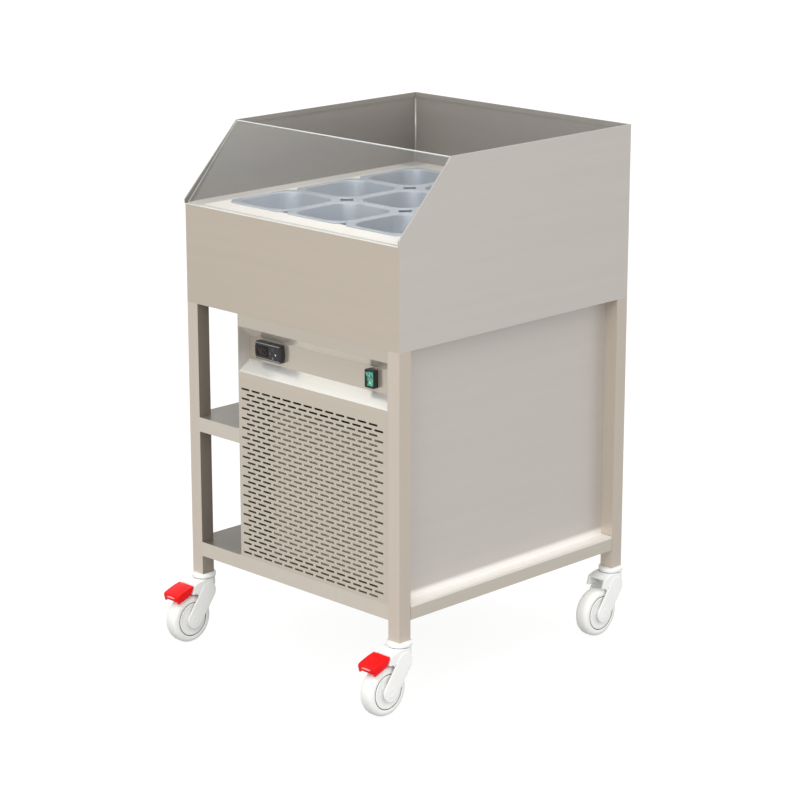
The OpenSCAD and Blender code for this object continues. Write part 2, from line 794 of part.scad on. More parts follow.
module refrigerant_pipes() {
    shell_mid = bottom_shelf_h + compressor_foot + plate_t + shell_h * 0.35;
    rise_y = compressor_y + shell_r + pipe_back;
    high_z = condenser_z + condenser_w + pipe_rise;
    low_z = high_z - pipe_drop;
    right_x = unit_mid_x + condenser_w / 2 + sheet_t + pipe_loop;
    left_x = unit_in_x0 + pipe_side;
    core_y = condenser_y + condenser_d / 2;
    tail_y = mid_y + coil_y;
    color("peru") {
        pipe_run([[compressor_x + shell_r, compressor_y, shell_mid], [right_x, compressor_y, shell_mid],
                  [right_x, core_y, shell_mid],
                  [unit_mid_x + condenser_w / 2 + sheet_t, core_y, shell_mid]], pipe_r);
        pipe_run([[compressor_x, compressor_y + shell_r, shell_mid], [compressor_x, rise_y, shell_mid],
                  [compressor_x, rise_y, high_z], [coil_tail_x[1], rise_y, high_z],
                  [coil_tail_x[1], tail_y, high_z], [coil_tail_x[1], tail_y, foam_bottom]], pipe_r);
        pipe_run([[unit_mid_x - condenser_w / 2 - sheet_t, core_y, low_z], [left_x, core_y, low_z],
                  [left_x, tail_y, low_z], [coil_tail_x[0], tail_y, low_z],
                  [coil_tail_x[0], tail_y, foam_bottom]], pipe_r);
        rod_y([left_x, mid_y - pipe_back, low_z], dryer_r, dryer_l);
    }
}

module cord_gland() {
    color("black") translate([gland_x, gland_y, bottom_shelf_h - sheet_t]) difference() {
        union() {
            translate([0, 0, -gland_nut_h - gland_cap_h]) cylinder(r = gland_r - 1, h = gland_cap_h);
            translate([0, 0, -gland_nut_h]) cylinder(r = gland_r + gland_nut, h = gland_nut_h, $fn = 6);
            cylinder(r = gland_r, h = gland_top_h);
            translate([0, 0, sheet_t]) cylinder(r = gland_r + gland_nut, h = gland_nut_h / 2, $fn = 6);
        }
        translate([0, 0, -gland_nut_h - gland_cap_h - 1])
            cylinder(r = gland_bore_r, h = gland_nut_h + gland_cap_h + gland_top_h + 2);
    }
}

// Controls

controller_x = unit_x0 + ctrl_inset;
controller_z = panel_mid + 3;
switch_x = unit_x1 - switch_inset;
switch_z = panel_mid + 2;
ctrl_box_w = ctrl_w - 6;
ctrl_box_h = ctrl_h - 8;
ctrl_box_d = 50;
switch_box_w = switch_w - 4;
switch_box_h = switch_h - 6;
switch_wall = 2.2;
button_x = controller_x + 17;
button_z = controller_z - 2;
button_out = 1.2;
button_deep = 5;
rocker_pin_r = 1.5;
rocker_dish = 1.2;
rocker_edge = 5;
rocker_back = 2.8;
rocker_boss = 6;
rocker_boss_w = 16;
rocker_y = panel_y - 3;
rocker_room = 1.6;
window_w = 34;
window_h = 22;
window_deep = 0.6;
switch_box_d = 28;

// Outline with bowed ends, in the XZ plane of the panel
module controller_outline(inset) {
    bow_r = 56;
    w = ctrl_w - 2 * inset;
    intersection() {
        square([w, ctrl_h - 2 * inset], center = true);
        translate([bow_r - w / 2, 0]) circle(r = bow_r);
        translate([w / 2 - bow_r, 0]) circle(r = bow_r);
    }
}

module controller_body() {
    color("black") difference() {
        translate([controller_x, panel_y, controller_z]) rotate([90, 0, 0]) union() {
            linear_extrude(ctrl_out - 2) controller_outline(0);
            linear_extrude(ctrl_out) controller_outline(1.5);
            translate([0, 0, -ctrl_box_d]) linear_extrude(ctrl_box_d)
                square([ctrl_box_w - 0.2, ctrl_box_h - 0.2], center = true);
        }
        block([controller_x + 2 - window_w, panel_y - ctrl_out - 1, controller_z - window_h / 2],
              [controller_x + 2, panel_y - ctrl_out + window_deep, controller_z + window_h / 2]);
        for (p = button_places)
            rod_y([p[0], panel_y - ctrl_out - 1, p[1]], button_r + 0.15, button_deep + 1);
    }
}

button_places = [
    [button_x, button_z + button_ring], [button_x, button_z - button_ring],
    [button_x - button_ring, button_z], [button_x + button_ring, button_z]
];

module button(place) {
    color("darkgray") rod_y([place[0], panel_y - ctrl_out - button_out, place[1]], button_r,
                            button_out + button_deep - button_travel - run_gap);
}

module switch_frame() {
    color("black") difference() {
        union() {
            block([switch_x - switch_w / 2, panel_y - switch_out, switch_z - switch_h / 2],
                  [switch_x + switch_w / 2, panel_y, switch_z + switch_h / 2]);
            block([switch_x - switch_box_w / 2 + 0.1, panel_y - 1, switch_z - switch_box_h / 2 + 0.1],
                  [switch_x + switch_box_w / 2 - 0.1, panel_y + switch_box_d,
                   switch_z + switch_box_h / 2 - 0.1]);
        }
        block([switch_x - switch_w / 2 + switch_wall, panel_y - switch_out - 1,
               switch_z - switch_h / 2 + switch_wall],
              [switch_x + switch_w / 2 - switch_wall, panel_y - 1, switch_z + switch_h / 2 - switch_wall]);
        block([switch_x - switch_box_w / 2 + 2, panel_y - 2, switch_z - switch_box_h / 2 + 2],
              [switch_x + switch_box_w / 2 - 2, panel_y + switch_box_d / 2,
               switch_z + switch_box_h / 2 - 2]);
        rod_x([switch_x - switch_w / 2 + 0.8, rocker_y, switch_z], rocker_pin_r + shaft_fit, switch_w - 1.6);
    }
}

module switch_rocker() {
    cap_w = switch_w - 2 * switch_wall - 2 * run_gap;
    cap_half = switch_h / 2 - switch_wall - rocker_room;
    face = switch_out - 5;
    pin_half = switch_w / 2 - 1;
    color("seagreen") translate([switch_x, rocker_y, switch_z]) {
        rotate([rocker_tilt, 0, 0]) {
            yz_sheet(-cap_w / 2, cap_w, [
                [-face, 0], [-face - rocker_dish, -cap_half], [-face + rocker_edge, -cap_half],
                [-face + rocker_edge, cap_half], [-face - rocker_dish, cap_half]
            ]);
            block([-rocker_boss_w / 2, -face + rocker_edge - 1, -rocker_boss],
                  [rocker_boss_w / 2, rocker_back, rocker_boss]);
        }
        rod_x([-pin_half, 0, 0], rocker_pin_r, 2 * pin_half);
    }
}

// Castors

// Round plate, swivel pin and plug of one castor, fixed in its leg
module castor_mount(x, y) {
    plug = leg_w - 2 * leg_wall - 0.2;
    pin_l = collar_t + run_gap + head_h - 1;
    translate([x, y, castor_h]) {
        translate([0, 0, -collar_t]) cylinder(r = collar_r, h = collar_t);
        translate([-plug / 2, -plug / 2, 0]) cube([plug, plug, plug_h]);
        translate([0, 0, -pin_l]) cylinder(r = kingpin_r, h = pin_l);
        translate([0, 0, -pin_l]) cylinder(r = pin_head_r, h = pin_head_h);
    }
}

module castor_mounts() {
    color("white") for (x = [-leg_x, leg_x], y = [leg_front_y, leg_back_y]) castor_mount(x, y);
}

// Outline of a fork arm in the YZ plane, measured from the swivel axis at floor level
module arm_outline() {
    hull() {
        translate([arm_top_y, swivel_top - arm_top_drop]) circle(r = arm_top_r, $fn = 40);
        translate([-trail, axle_z]) circle(r = arm_end_r, $fn = 40);
    }
}

// Hood over the wheel in the YZ plane: its sloped roof, and the walls that hang from it
function hood_roof() = [
    [0, swivel_top], [hood_flat_y, swivel_top], [hood_front_y, swivel_top - hood_front_drop],
    [hood_front_y, swivel_top - hood_front_drop - hood_t], [hood_flat_y, swivel_top - hood_t],
    [0, swivel_top - hood_t]
];
hood_low = swivel_top - hood_front_drop - hood_wall_h;
function hood_wall() = [
    [0, swivel_top], [hood_flat_y, swivel_top], [hood_front_y, swivel_top - hood_front_drop],
    [hood_front_y - hood_slant, hood_low], [0, hood_low]
];

module fork(x, y, braked) {
    head_r = arm_out - 0.5;
    color("white") translate([x, y, 0]) difference() {
        union() {
            translate([0, 0, head_bottom]) cylinder(r = head_r, h = head_h);
            for (s = [-1, 1]) {
                intersection() {
                    translate([s > 0 ? arm_in : -arm_out, 0, 0]) rotate([90, 0, 90])
                        linear_extrude(arm_t) arm_outline();
                    block([-arm_out, -2 * trail, 0], [arm_out, collar_r, swivel_top]);
                }
                yz_sheet(s > 0 ? arm_in : -hood_out, hood_out - arm_in, hood_wall());
            }
            yz_sheet(-hood_out, 2 * hood_out, hood_roof());
        }
        translate([0, 0, head_bottom - 1]) cylinder(r = kingpin_r + shaft_fit, h = head_h + 2);
        translate([0, 0, head_bottom - 1]) cylinder(r = pin_head_r + run_gap, h = pin_head_h + 2 + run_gap);
        rod_x([-arm_out - 1, -trail, axle_z], axle_r + shaft_fit, 2 * arm_out + 2);
        for (s = [-1, 1]) rod_x([s > 0 ? arm_out - axle_seat : -arm_out - 1, -trail, axle_z],
                                axle_head_r + shaft_fit, axle_seat + 1);
        if (braked) rod_x([-arm_out - 1, pedal_pivot_y, pedal_pivot_z], pedal_pin_r + shaft_fit,
                          2 * arm_out + 2);
    }
}

module wheel(x, y) {
    rim_r0 = 36;
    shoulder = 9;
    half = wheel_w / 2;
    color("white") translate([x, y - trail, axle_z]) rotate([0, 90, 0]) rotate_extrude() polygon([
        [axle_r + shaft_fit, -half], [14, -half], [17, -half + 3], [rim_r0 - 4, -half + 3],
        [rim_r0 - 2, -half], [rim_r0, -half], [rim_r0 + 0.8, -half + 1], [rim_r0 + 1.6, -half],
        [wheel_r - 5, -half + 2], [wheel_r - 1.2, -shoulder], [wheel_r, -4], [wheel_r, 4],
        [wheel_r - 1.2, shoulder], [wheel_r - 5, half - 2],
        [rim_r0 + 1.6, half], [rim_r0 + 0.8, half - 1], [rim_r0, half],
        [rim_r0 - 2, half], [rim_r0 - 4, half - 3], [17, half - 3], [14, half],
        [axle_r + shaft_fit, half]
    ]);
}

module axle(x, y) {
    seat = arm_out - axle_seat;
    color("gray") translate([x, y - trail, axle_z]) {
        rod_x([-seat, 0, 0], axle_r, 2 * seat);
        for (s = [-1, 1]) rod_x([s > 0 ? seat : -seat - axle_head_t, 0, 0], axle_head_r, axle_head_t);
    }
}

// Brake pedal, hollowed so that it still clears the tyre when it is pressed right down
module pedal(x, y) {
    to_axle = [axle_y_from_pivot, axle_z - pedal_pivot_z];
    tyre_y = to_axle[0] * cos(pedal_travel) + to_axle[1] * sin(pedal_travel);
    tyre_z = -to_axle[0] * sin(pedal_travel) + to_axle[1] * cos(pedal_travel);
    color("red") translate([x, y, 0]) difference() {
        union() {
            yz_sheet(-pedal_w / 2, pedal_w, [
                [pedal_back_y, pedal_back_top], [pedal_front_y, pedal_front_top],
                [pedal_front_y, pedal_front_top - pedal_front_h],
                [pedal_back_y - pedal_slant, pedal_back_top - pedal_back_h]
            ]);
            yz_sheet(-pedal_arm_w / 2, pedal_arm_w, [
                [pedal_pivot_y, pedal_pivot_z + pedal_hub_r],
                [pedal_back_y - pedal_slant, pedal_pivot_z - 1],
                [pedal_back_y - pedal_slant, pedal_back_top - pedal_back_h + hood_t],
                [pedal_pivot_y, pedal_pivot_z - pedal_hub_r]
            ]);
            rod_x([-pedal_arm_w / 2, pedal_pivot_y, pedal_pivot_z], pedal_hub_r, pedal_arm_w);
            rod_x([-hood_out, pedal_pivot_y, pedal_pivot_z], pedal_pin_r, 2 * hood_out);
        }
        rod_x([-pedal_w, pedal_pivot_y + tyre_y, pedal_pivot_z + tyre_z],
              wheel_r + pedal_clear, 2 * pedal_w);
    }
}

// What is drawn

leg(-leg_x, leg_front_y);  // leg_front_left
leg(leg_x, leg_front_y);  // leg_front_right
leg(-leg_x, leg_back_y);  // leg_back_left
leg(leg_x, leg_back_y);  // leg_back_right
bottom_shelf();
middle_shelf();
front_panel();
side_panel(-1);  // left_side_panel
side_panel(1);  // right_side_panel
back_panel();
deck();
well_liner();
well_insulation();
cooling_coil();
pan_bars();
glass_screen();
pan(0, 0);  // pan_front_left
pan(1, 0);  // pan_front_middle
pan(2, 0);  // pan_front_right
pan(0, 1);  // pan_middle_left
pan(1, 1);  // pan_centre
pan(2, 1);  // pan_middle_right
pan(0, 2);  // pan_back_left
pan(1, 2);  // pan_back_middle
pan(2, 2);  // pan_back_right
unit_left_wall();
unit_right_panel();
unit_back_panel();
control_fascia();
grille_panel();
condenser();
fan_shroud();
fan_motor();
fan_blades();
compressor();
refrigerant_pipes();
cord_gland();
controller_body();
button(button_places[0]);  // button_up
button(button_places[1]);  // button_down
button(button_places[2]);  // button_left
button(button_places[3]);  // button_right
switch_frame();
switch_rocker();
castor_mounts();
fork(-leg_x, leg_front_y, true);  // fork_front_left
fork(leg_x, leg_front_y, true);  // fork_front_right
fork(-leg_x, leg_back_y, false);  // fork_back_left
fork(leg_x, leg_back_y, false);  // fork_back_right
wheel(-leg_x, leg_front_y);  // wheel_front_left
wheel(leg_x, leg_front_y);  // wheel_front_right
wheel(-leg_x, leg_back_y);  // wheel_back_left
wheel(leg_x, leg_back_y);  // wheel_back_right
axle(-leg_x, leg_front_y);  // axle_front_left
axle(leg_x, leg_front_y);  // axle_front_right
axle(-leg_x, leg_back_y);  // axle_back_left
axle(leg_x, leg_back_y);  // axle_back_right
pedal(-leg_x, leg_front_y);  // pedal_front_left
pedal(leg_x, leg_front_y);  // pedal_front_right
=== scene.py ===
# Mobile salad bar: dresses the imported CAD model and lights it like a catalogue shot.
import json
import math

import bmesh
import bpy
from mathutils import Matrix, Vector


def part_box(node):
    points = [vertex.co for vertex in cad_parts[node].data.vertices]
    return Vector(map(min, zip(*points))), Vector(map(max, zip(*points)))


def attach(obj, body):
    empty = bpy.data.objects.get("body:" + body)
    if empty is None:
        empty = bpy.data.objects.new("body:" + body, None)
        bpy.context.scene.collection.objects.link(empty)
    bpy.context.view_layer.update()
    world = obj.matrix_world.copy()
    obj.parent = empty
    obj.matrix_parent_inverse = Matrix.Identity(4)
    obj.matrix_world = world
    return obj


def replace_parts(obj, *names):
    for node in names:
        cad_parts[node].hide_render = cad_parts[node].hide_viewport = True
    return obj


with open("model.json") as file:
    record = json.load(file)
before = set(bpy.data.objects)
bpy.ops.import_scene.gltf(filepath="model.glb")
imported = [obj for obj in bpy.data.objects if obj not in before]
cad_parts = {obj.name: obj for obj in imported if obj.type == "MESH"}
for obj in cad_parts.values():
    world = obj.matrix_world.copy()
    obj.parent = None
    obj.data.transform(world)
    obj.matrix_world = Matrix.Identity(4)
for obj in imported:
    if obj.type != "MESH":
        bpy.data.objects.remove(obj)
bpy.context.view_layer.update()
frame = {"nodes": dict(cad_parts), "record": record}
nodes = frame["nodes"]
mm = 0.001
print("frame loaded:", len(nodes), "nodes")

scene = bpy.context.scene
scene.view_settings.view_transform = "Standard"

cameraShot = {"place": (3.6124, -3.6066, 1.9102), "tilt": 74.63, "turn": 44.95, "lens": 117.84, "sensor": 36, "farClip": 60}


def makeCamera():
    shot = bpy.data.cameras.new("catalogueCamera")
    shot.lens = cameraShot["lens"]
    shot.sensor_width = cameraShot["sensor"]
    shot.clip_end = cameraShot["farClip"]
    holder = bpy.data.objects.new("catalogueCamera", shot)
    holder.location = cameraShot["place"]
    holder.rotation_euler = (math.radians(cameraShot["tilt"]), 0, math.radians(cameraShot["turn"]))
    scene.collection.objects.link(holder)
    scene.camera = holder


makeCamera()
print("camera placed")


def newFinish(name):
    finish = bpy.data.materials.new(name)
    finish.use_nodes = True
    tree = finish.node_tree
    return finish, tree, tree.nodes["Principled BSDF"]


def rowPlace(tree, stretch):
    # object coordinates in metres, stretched so that one noise cell is 1/stretch metres
    where = tree.nodes.new("ShaderNodeTexCoord")
    mapping = tree.nodes.new("ShaderNodeMapping")
    mapping.inputs["Scale"].default_value = stretch
    tree.links.new(where.outputs["Object"], mapping.inputs["Vector"])
    return mapping.outputs["Vector"]


def noiseAt(tree, place, detail=2.0, rough=0.5):
    cloud = tree.nodes.new("ShaderNodeTexNoise")
    cloud.inputs["Scale"].default_value = 1.0
    cloud.inputs["Detail"].default_value = detail
    cloud.inputs["Roughness"].default_value = rough
    tree.links.new(place, cloud.inputs["Vector"])
    return cloud.outputs["Fac"]


def spread(tree, value, low, high, start=0.3, end=0.7):
    # noise value mapped to the range low..high
    ranger = tree.nodes.new("ShaderNodeMapRange")
    ranger.inputs["From Min"].default_value = start
    ranger.inputs["From Max"].default_value = end
    ranger.inputs["To Min"].default_value = low
    ranger.inputs["To Max"].default_value = high
    tree.links.new(value, ranger.inputs["Value"])
    return ranger.outputs["Result"]


def added(tree, first, second, kind="ADD"):
    adder = tree.nodes.new("ShaderNodeMath")
    adder.operation = kind
    tree.links.new(first, adder.inputs[0])
    tree.links.new(second, adder.inputs[1])
    return adder.outputs[0]


def shaded(tree, colour, amount):
    # colour darkened or lightened by a value around 1
    scaler = tree.nodes.new("ShaderNodeVectorMath")
    scaler.operation = "SCALE"
    scaler.inputs[0].default_value = colour[:3]
    tree.links.new(amount, scaler.inputs["Scale"])
    return scaler.outputs["Vector"]


def bumped(tree, shader, height, strength, depth):
    bump = tree.nodes.new("ShaderNodeBump")
    bump.inputs["Strength"].default_value = strength
    bump.inputs["Distance"].default_value = depth
    tree.links.new(height, bump.inputs["Height"])
    tree.links.new(bump.outputs["Normal"], shader.inputs["Normal"])


def srgb(red, green, blue):
    # 0..255 screen values to linear
    def one(v):
        v = v / 255
        return v / 12.92 if v < 0.04045 else ((v + 0.055) / 1.055) ** 2.4
    return one(red), one(green), one(blue), 1.0


rightward, leftward, frontward, upward, downward = (1, 0, 0), (-1, 0, 0), (0, -1, 0), (0, 0, 1), (0, 0, -1)
facingRange = (0.75, 0.9)  # how straight a face has to look that way for its share to start and to be whole


def paintedShadeAndHighlight(tree, facing, share, beyond=None, climb=None):
    # 1 on most faces, and another share of the colour on those that look one way:
    # painted shade where that share is below 1, and a painted highlight where it is above 1
    where = tree.nodes.new("ShaderNodeTexCoord")
    match = tree.nodes.new("ShaderNodeVectorMath")
    match.operation = "DOT_PRODUCT"
    match.inputs[1].default_value = facing
    tree.links.new(where.outputs["Normal"], match.inputs[0])
    amount = spread(tree, match.outputs["Value"], 0.0, 1.0, *facingRange)
    parts = tree.nodes.new("ShaderNodeSeparateXYZ")
    tree.links.new(where.outputs["Object"], parts.inputs[0])
    if beyond is not None:
        # ends at a line across the piece: axis, where the share is whole and where it ends
        axis, whole, end = beyond
        amount = added(tree, amount, spread(tree, parts.outputs[axis], 1.0, 0.0, whole, end), "MULTIPLY")
    if climb is not None:
        # changes with height: from share at the low level to the last value at the high one
        low, high, highShare = climb
        drop = added(tree, amount, spread(tree, parts.outputs["Z"], 1 - share, 1 - highShare, low, high), "MULTIPLY")
        return spread(tree, drop, 1.0, 0.0, 0.0, 1.0)
    joined = tree.nodes.new("ShaderNodeCombineXYZ")
    for channel, part in enumerate(share if isinstance(share, tuple) else (share,) * 3):
        tree.links.new(spread(tree, amount, 1.0, part, 0.0, 1.0), joined.inputs[channel])
    return joined.outputs["Vector"]


# cells of noise per metre along X, Y and Z, for sheet brushed along each axis
brushing = {"grain": {"x": (7, 900, 900), "y": (900, 7, 900), "z": (900, 900, 7)},
            "band": {"x": (1.5, 60, 60), "y": (60, 1.5, 60), "z": (60, 60, 1.5)},
            "wiping": (7, 7, 5), "grainDepth": 0.015, "bandDepth": 0.012}


def brushedSteel(name, colour, way, rough=0.36, metal=0.35, paintedSides=()):
    # fine scratches along one way, soft bands beside them and faint wiping marks
    finish, tree, shader = newFinish(name)
    fine = noiseAt(tree, rowPlace(tree, brushing["grain"][way]), 3)
    band = noiseAt(tree, rowPlace(tree, brushing["band"][way]), 2)
    wiped = noiseAt(tree, rowPlace(tree, brushing["wiping"]), 4, 0.6)
    grainDepth, bandDepth = brushing["grainDepth"], brushing["bandDepth"]
    tone = added(tree, spread(tree, band, 1 - bandDepth, 1 + bandDepth),
                 spread(tree, fine, 1 - grainDepth, 1 + grainDepth), "MULTIPLY")
    paint = shaded(tree, colour, tone)
    # painted shade and painted highlight on the faces that look the given ways
    for side in paintedSides:
        mixed = tree.nodes.new("ShaderNodeVectorMath")
        mixed.operation = "MULTIPLY"
        tree.links.new(paint, mixed.inputs[0])
        tree.links.new(paintedShadeAndHighlight(tree, **side), mixed.inputs[1])
        paint = mixed.outputs["Vector"]
    tree.links.new(paint, shader.inputs["Base Color"])
    roughness = added(tree, spread(tree, fine, rough - 0.04, rough + 0.05), spread(tree, wiped, -0.03, 0.04))
    tree.links.new(roughness, shader.inputs["Roughness"])
    shader.inputs["Metallic"].default_value = metal
    bumped(tree, shader, fine, 0.10, 0.0002)
    return finish


def satinSteel(name, colour, rough, metal):
    # pressed sheet: no brushing, only a fine drawn texture and soft clouds
    finish, tree, shader = newFinish(name)
    fine = noiseAt(tree, rowPlace(tree, (700, 700, 500)), 2)
    cloud = noiseAt(tree, rowPlace(tree, (22, 22, 14)), 3)
    tree.links.new(shaded(tree, colour, spread(tree, cloud, 0.95, 1.05)), shader.inputs["Base Color"])
    tree.links.new(spread(tree, cloud, rough - 0.05, rough + 0.06), shader.inputs["Roughness"])
    shader.inputs["Metallic"].default_value = metal
    bumped(tree, shader, fine, 0.06, 0.0002)
    return finish


def moulded(name, colour, rough, grain, strength, coat=0.0, mottle=0.02, shine=0.5):
    # moulded plastic or rubber with a fine skin texture
    finish, tree, shader = newFinish(name)
    skin = noiseAt(tree, rowPlace(tree, (grain, grain, grain)), 3)
    cloud = noiseAt(tree, rowPlace(tree, (40, 40, 40)), 3)
    tree.links.new(shaded(tree, colour, spread(tree, cloud, 1 - mottle, 1 + mottle)), shader.inputs["Base Color"])
    tree.links.new(spread(tree, skin, rough - 0.04, rough + 0.05), shader.inputs["Roughness"])
    shader.inputs["Specular IOR Level"].default_value = shine
    shader.inputs["Coat Weight"].default_value = coat
    shader.inputs["Coat Roughness"].default_value = 0.12
    bumped(tree, shader, skin, strength, 0.0003)
    return finish


finLight = {"colour": (0.85, 0.74, 0.60), "strength": 0.085}


def finnedMetal(name, colour, rough):
    # rolled foil: streaks across the fins, dull spots of dust, and a faint painted glow
    finish, tree, shader = newFinish(name)
    streak = noiseAt(tree, rowPlace(tree, (300, 40, 20)), 3)
    dustAndGlow = noiseAt(tree, rowPlace(tree, (90, 90, 90)), 4)
    tree.links.new(shaded(tree, colour, spread(tree, dustAndGlow, 0.8, 1.08)), shader.inputs["Base Color"])
    tree.links.new(spread(tree, streak, rough - 0.08, rough + 0.12), shader.inputs["Roughness"])
    shader.inputs["Metallic"].default_value = 0.6
    # painted glow for a little of the light that comes in through the slots and bounces among the fins
    tree.links.new(shaded(tree, finLight["colour"], spread(tree, dustAndGlow, 0.7, 1.1)), shader.inputs["Emission Color"])
    shader.inputs["Emission Strength"].default_value = finLight["strength"]
    return finish


def drawnCopper(name):
    finish, tree, shader = newFinish(name)
    tarnish = noiseAt(tree, rowPlace(tree, (60, 60, 60)), 4)
    mixed = tree.nodes.new("ShaderNodeMix")
    mixed.data_type = "RGBA"
    mixed.inputs["A"].default_value = (0.72, 0.30, 0.16, 1)
    mixed.inputs["B"].default_value = (0.36, 0.17, 0.10, 1)
    tree.links.new(spread(tree, tarnish, 0, 1, 0.4, 0.75), mixed.inputs["Factor"])
    tree.links.new(mixed.outputs["Result"], shader.inputs["Base Color"])
    tree.links.new(spread(tree, tarnish, 0.22, 0.45), shader.inputs["Roughness"])
    shader.inputs["Metallic"].default_value = 1.0
    return finish


def foamBoard(name):
    finish, tree, shader = newFinish(name)
    cells = tree.nodes.new("ShaderNodeTexVoronoi")
    cells.inputs["Scale"].default_value = 1.0
    tree.links.new(rowPlace(tree, (450, 450, 450)), cells.inputs["Vector"])
    cloud = noiseAt(tree, rowPlace(tree, (20, 20, 20)), 3)
    tree.links.new(shaded(tree, srgb(214, 196, 140), spread(tree, cloud, 0.92, 1.05)), shader.inputs["Base Color"])
    shader.inputs["Roughness"].default_value = 0.9
    bumped(tree, shader, cells.outputs["Distance"], 0.4, 0.0008)
    return finish


def clearSheet(name):
    # clear sheet that lets light through for shadows, with faint wiping marks in its gloss
    finish, tree, shader = newFinish(name)
    smear = noiseAt(tree, rowPlace(tree, (9, 14, 14)), 4, 0.6)
    tree.links.new(spread(tree, smear, 0.0, 0.035), shader.inputs["Roughness"])
    shader.inputs["Base Color"].default_value = (0.99, 0.993, 0.988, 1)
    shader.inputs["Transmission Weight"].default_value = 1.0
    shader.inputs["IOR"].default_value = 1.49
    ray = tree.nodes.new("ShaderNodeLightPath")
    clear = tree.nodes.new("ShaderNodeBsdfTransparent")
    clear.inputs["Color"].default_value = (0.975, 0.975, 0.97, 1)
    either = tree.nodes.new("ShaderNodeMixShader")
    tree.links.new(ray.outputs["Is Shadow Ray"], either.inputs["Fac"])
    tree.links.new(shader.outputs["BSDF"], either.inputs[1])
    tree.links.new(clear.outputs["BSDF"], either.inputs[2])
    tree.links.new(either.outputs["Shader"], tree.nodes["Material Output"].inputs["Surface"])
    return finish


def litGreen(name):
    # clear green cap over a lamp
    finish, tree, shader = newFinish(name)
    glow = noiseAt(tree, rowPlace(tree, (120, 120, 90)), 2)
    tree.links.new(shaded(tree, (0.02, 0.20, 0.13), spread(tree, glow, 0.4, 1.5)), shader.inputs["Base Color"])
    light = spread(tree, glow, 0.1, 1.0, 0.36, 0.66)
    tree.links.new(shaded(tree, (0.08, 0.60, 0.40), light), shader.inputs["Emission Color"])
    shader.inputs["Emission Strength"].default_value = 0.42
    shader.inputs["Roughness"].default_value = 0.12
    shader.inputs["Coat Weight"].default_value = 0.6
    return finish


def glowing(name, colour, strength):
    # printed mark with a little light behind it
    finish, tree, shader = newFinish(name)
    speck = noiseAt(tree, rowPlace(tree, (900, 900, 900)), 2)
    tree.links.new(shaded(tree, colour, spread(tree, speck, 0.85, 1.1)), shader.inputs["Base Color"])
    tree.links.new(shaded(tree, colour, spread(tree, speck, 0.85, 1.1)), shader.inputs["Emission Color"])
    shader.inputs["Emission Strength"].default_value = strength
    shader.inputs["Roughness"].default_value = 0.4
    return finish


steelTone = srgb(193, 182, 168)
sideTone = srgb(191, 186, 180)
guardTone = srgb(193, 187, 180)
legTone = srgb(205, 194, 181)
shelfTone = srgb(206, 198, 186)
casingTone = srgb(199, 190, 176)
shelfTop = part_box("bottom_shelf")[1].z
# painted shade on the guards' inner sides, fading between these two levels
guardShadeFade = (0.92, 1.05)  # levels between which the guards' inner sides grow lighter
# X where the painted shade on the shelf tops inside the bay ends
bayShadeEnd = ("X", -0.16, -0.15)
# bottom shelf: painted shade on its top inside the bay and on faces toward +X, painted highlight on the right ledge's
# top and along the top of its right-facing face
lowShelfPaintedLight = ({"facing": upward, "share": 0.28, "beyond": bayShadeEnd},
                 {"facing": rightward, "share": 0.84},
                 {"facing": upward, "share": (1.55, 1.65, 1.8), "beyond": ("X", 0.2, 0.19)},
                 {"facing": rightward, "share": (1.5, 1.6, 1.7), "beyond": ("Z", shelfTop - 0.0035, shelfTop - 0.006)})
# painted highlight along the foot of the unit's right panel
unitPaintedHighlight = ({"facing": rightward, "share": (1.7, 1.75, 1.85), "beyond": ("Z", shelfTop + 0.007, shelfTop + 0.016)},)
# painted highlight on the fascia's lower and upper slopes
fasciaPaintedHighlight = ({"facing": (0, -0.55, 0.83), "share": (1.70, 1.88, 2.15)},
               {"facing": (0, -0.62, -0.78), "share": (1.87, 1.93, 2.05)})
# painted shade on the deck's left and back strips beside the guards
deckPaintedShade = ({"facing": upward, "share": 0.65, "beyond": ("X", -0.262, -0.255)},
             {"facing": upward, "share": 0.65, "beyond": ("Y", 0.31, 0.302)})
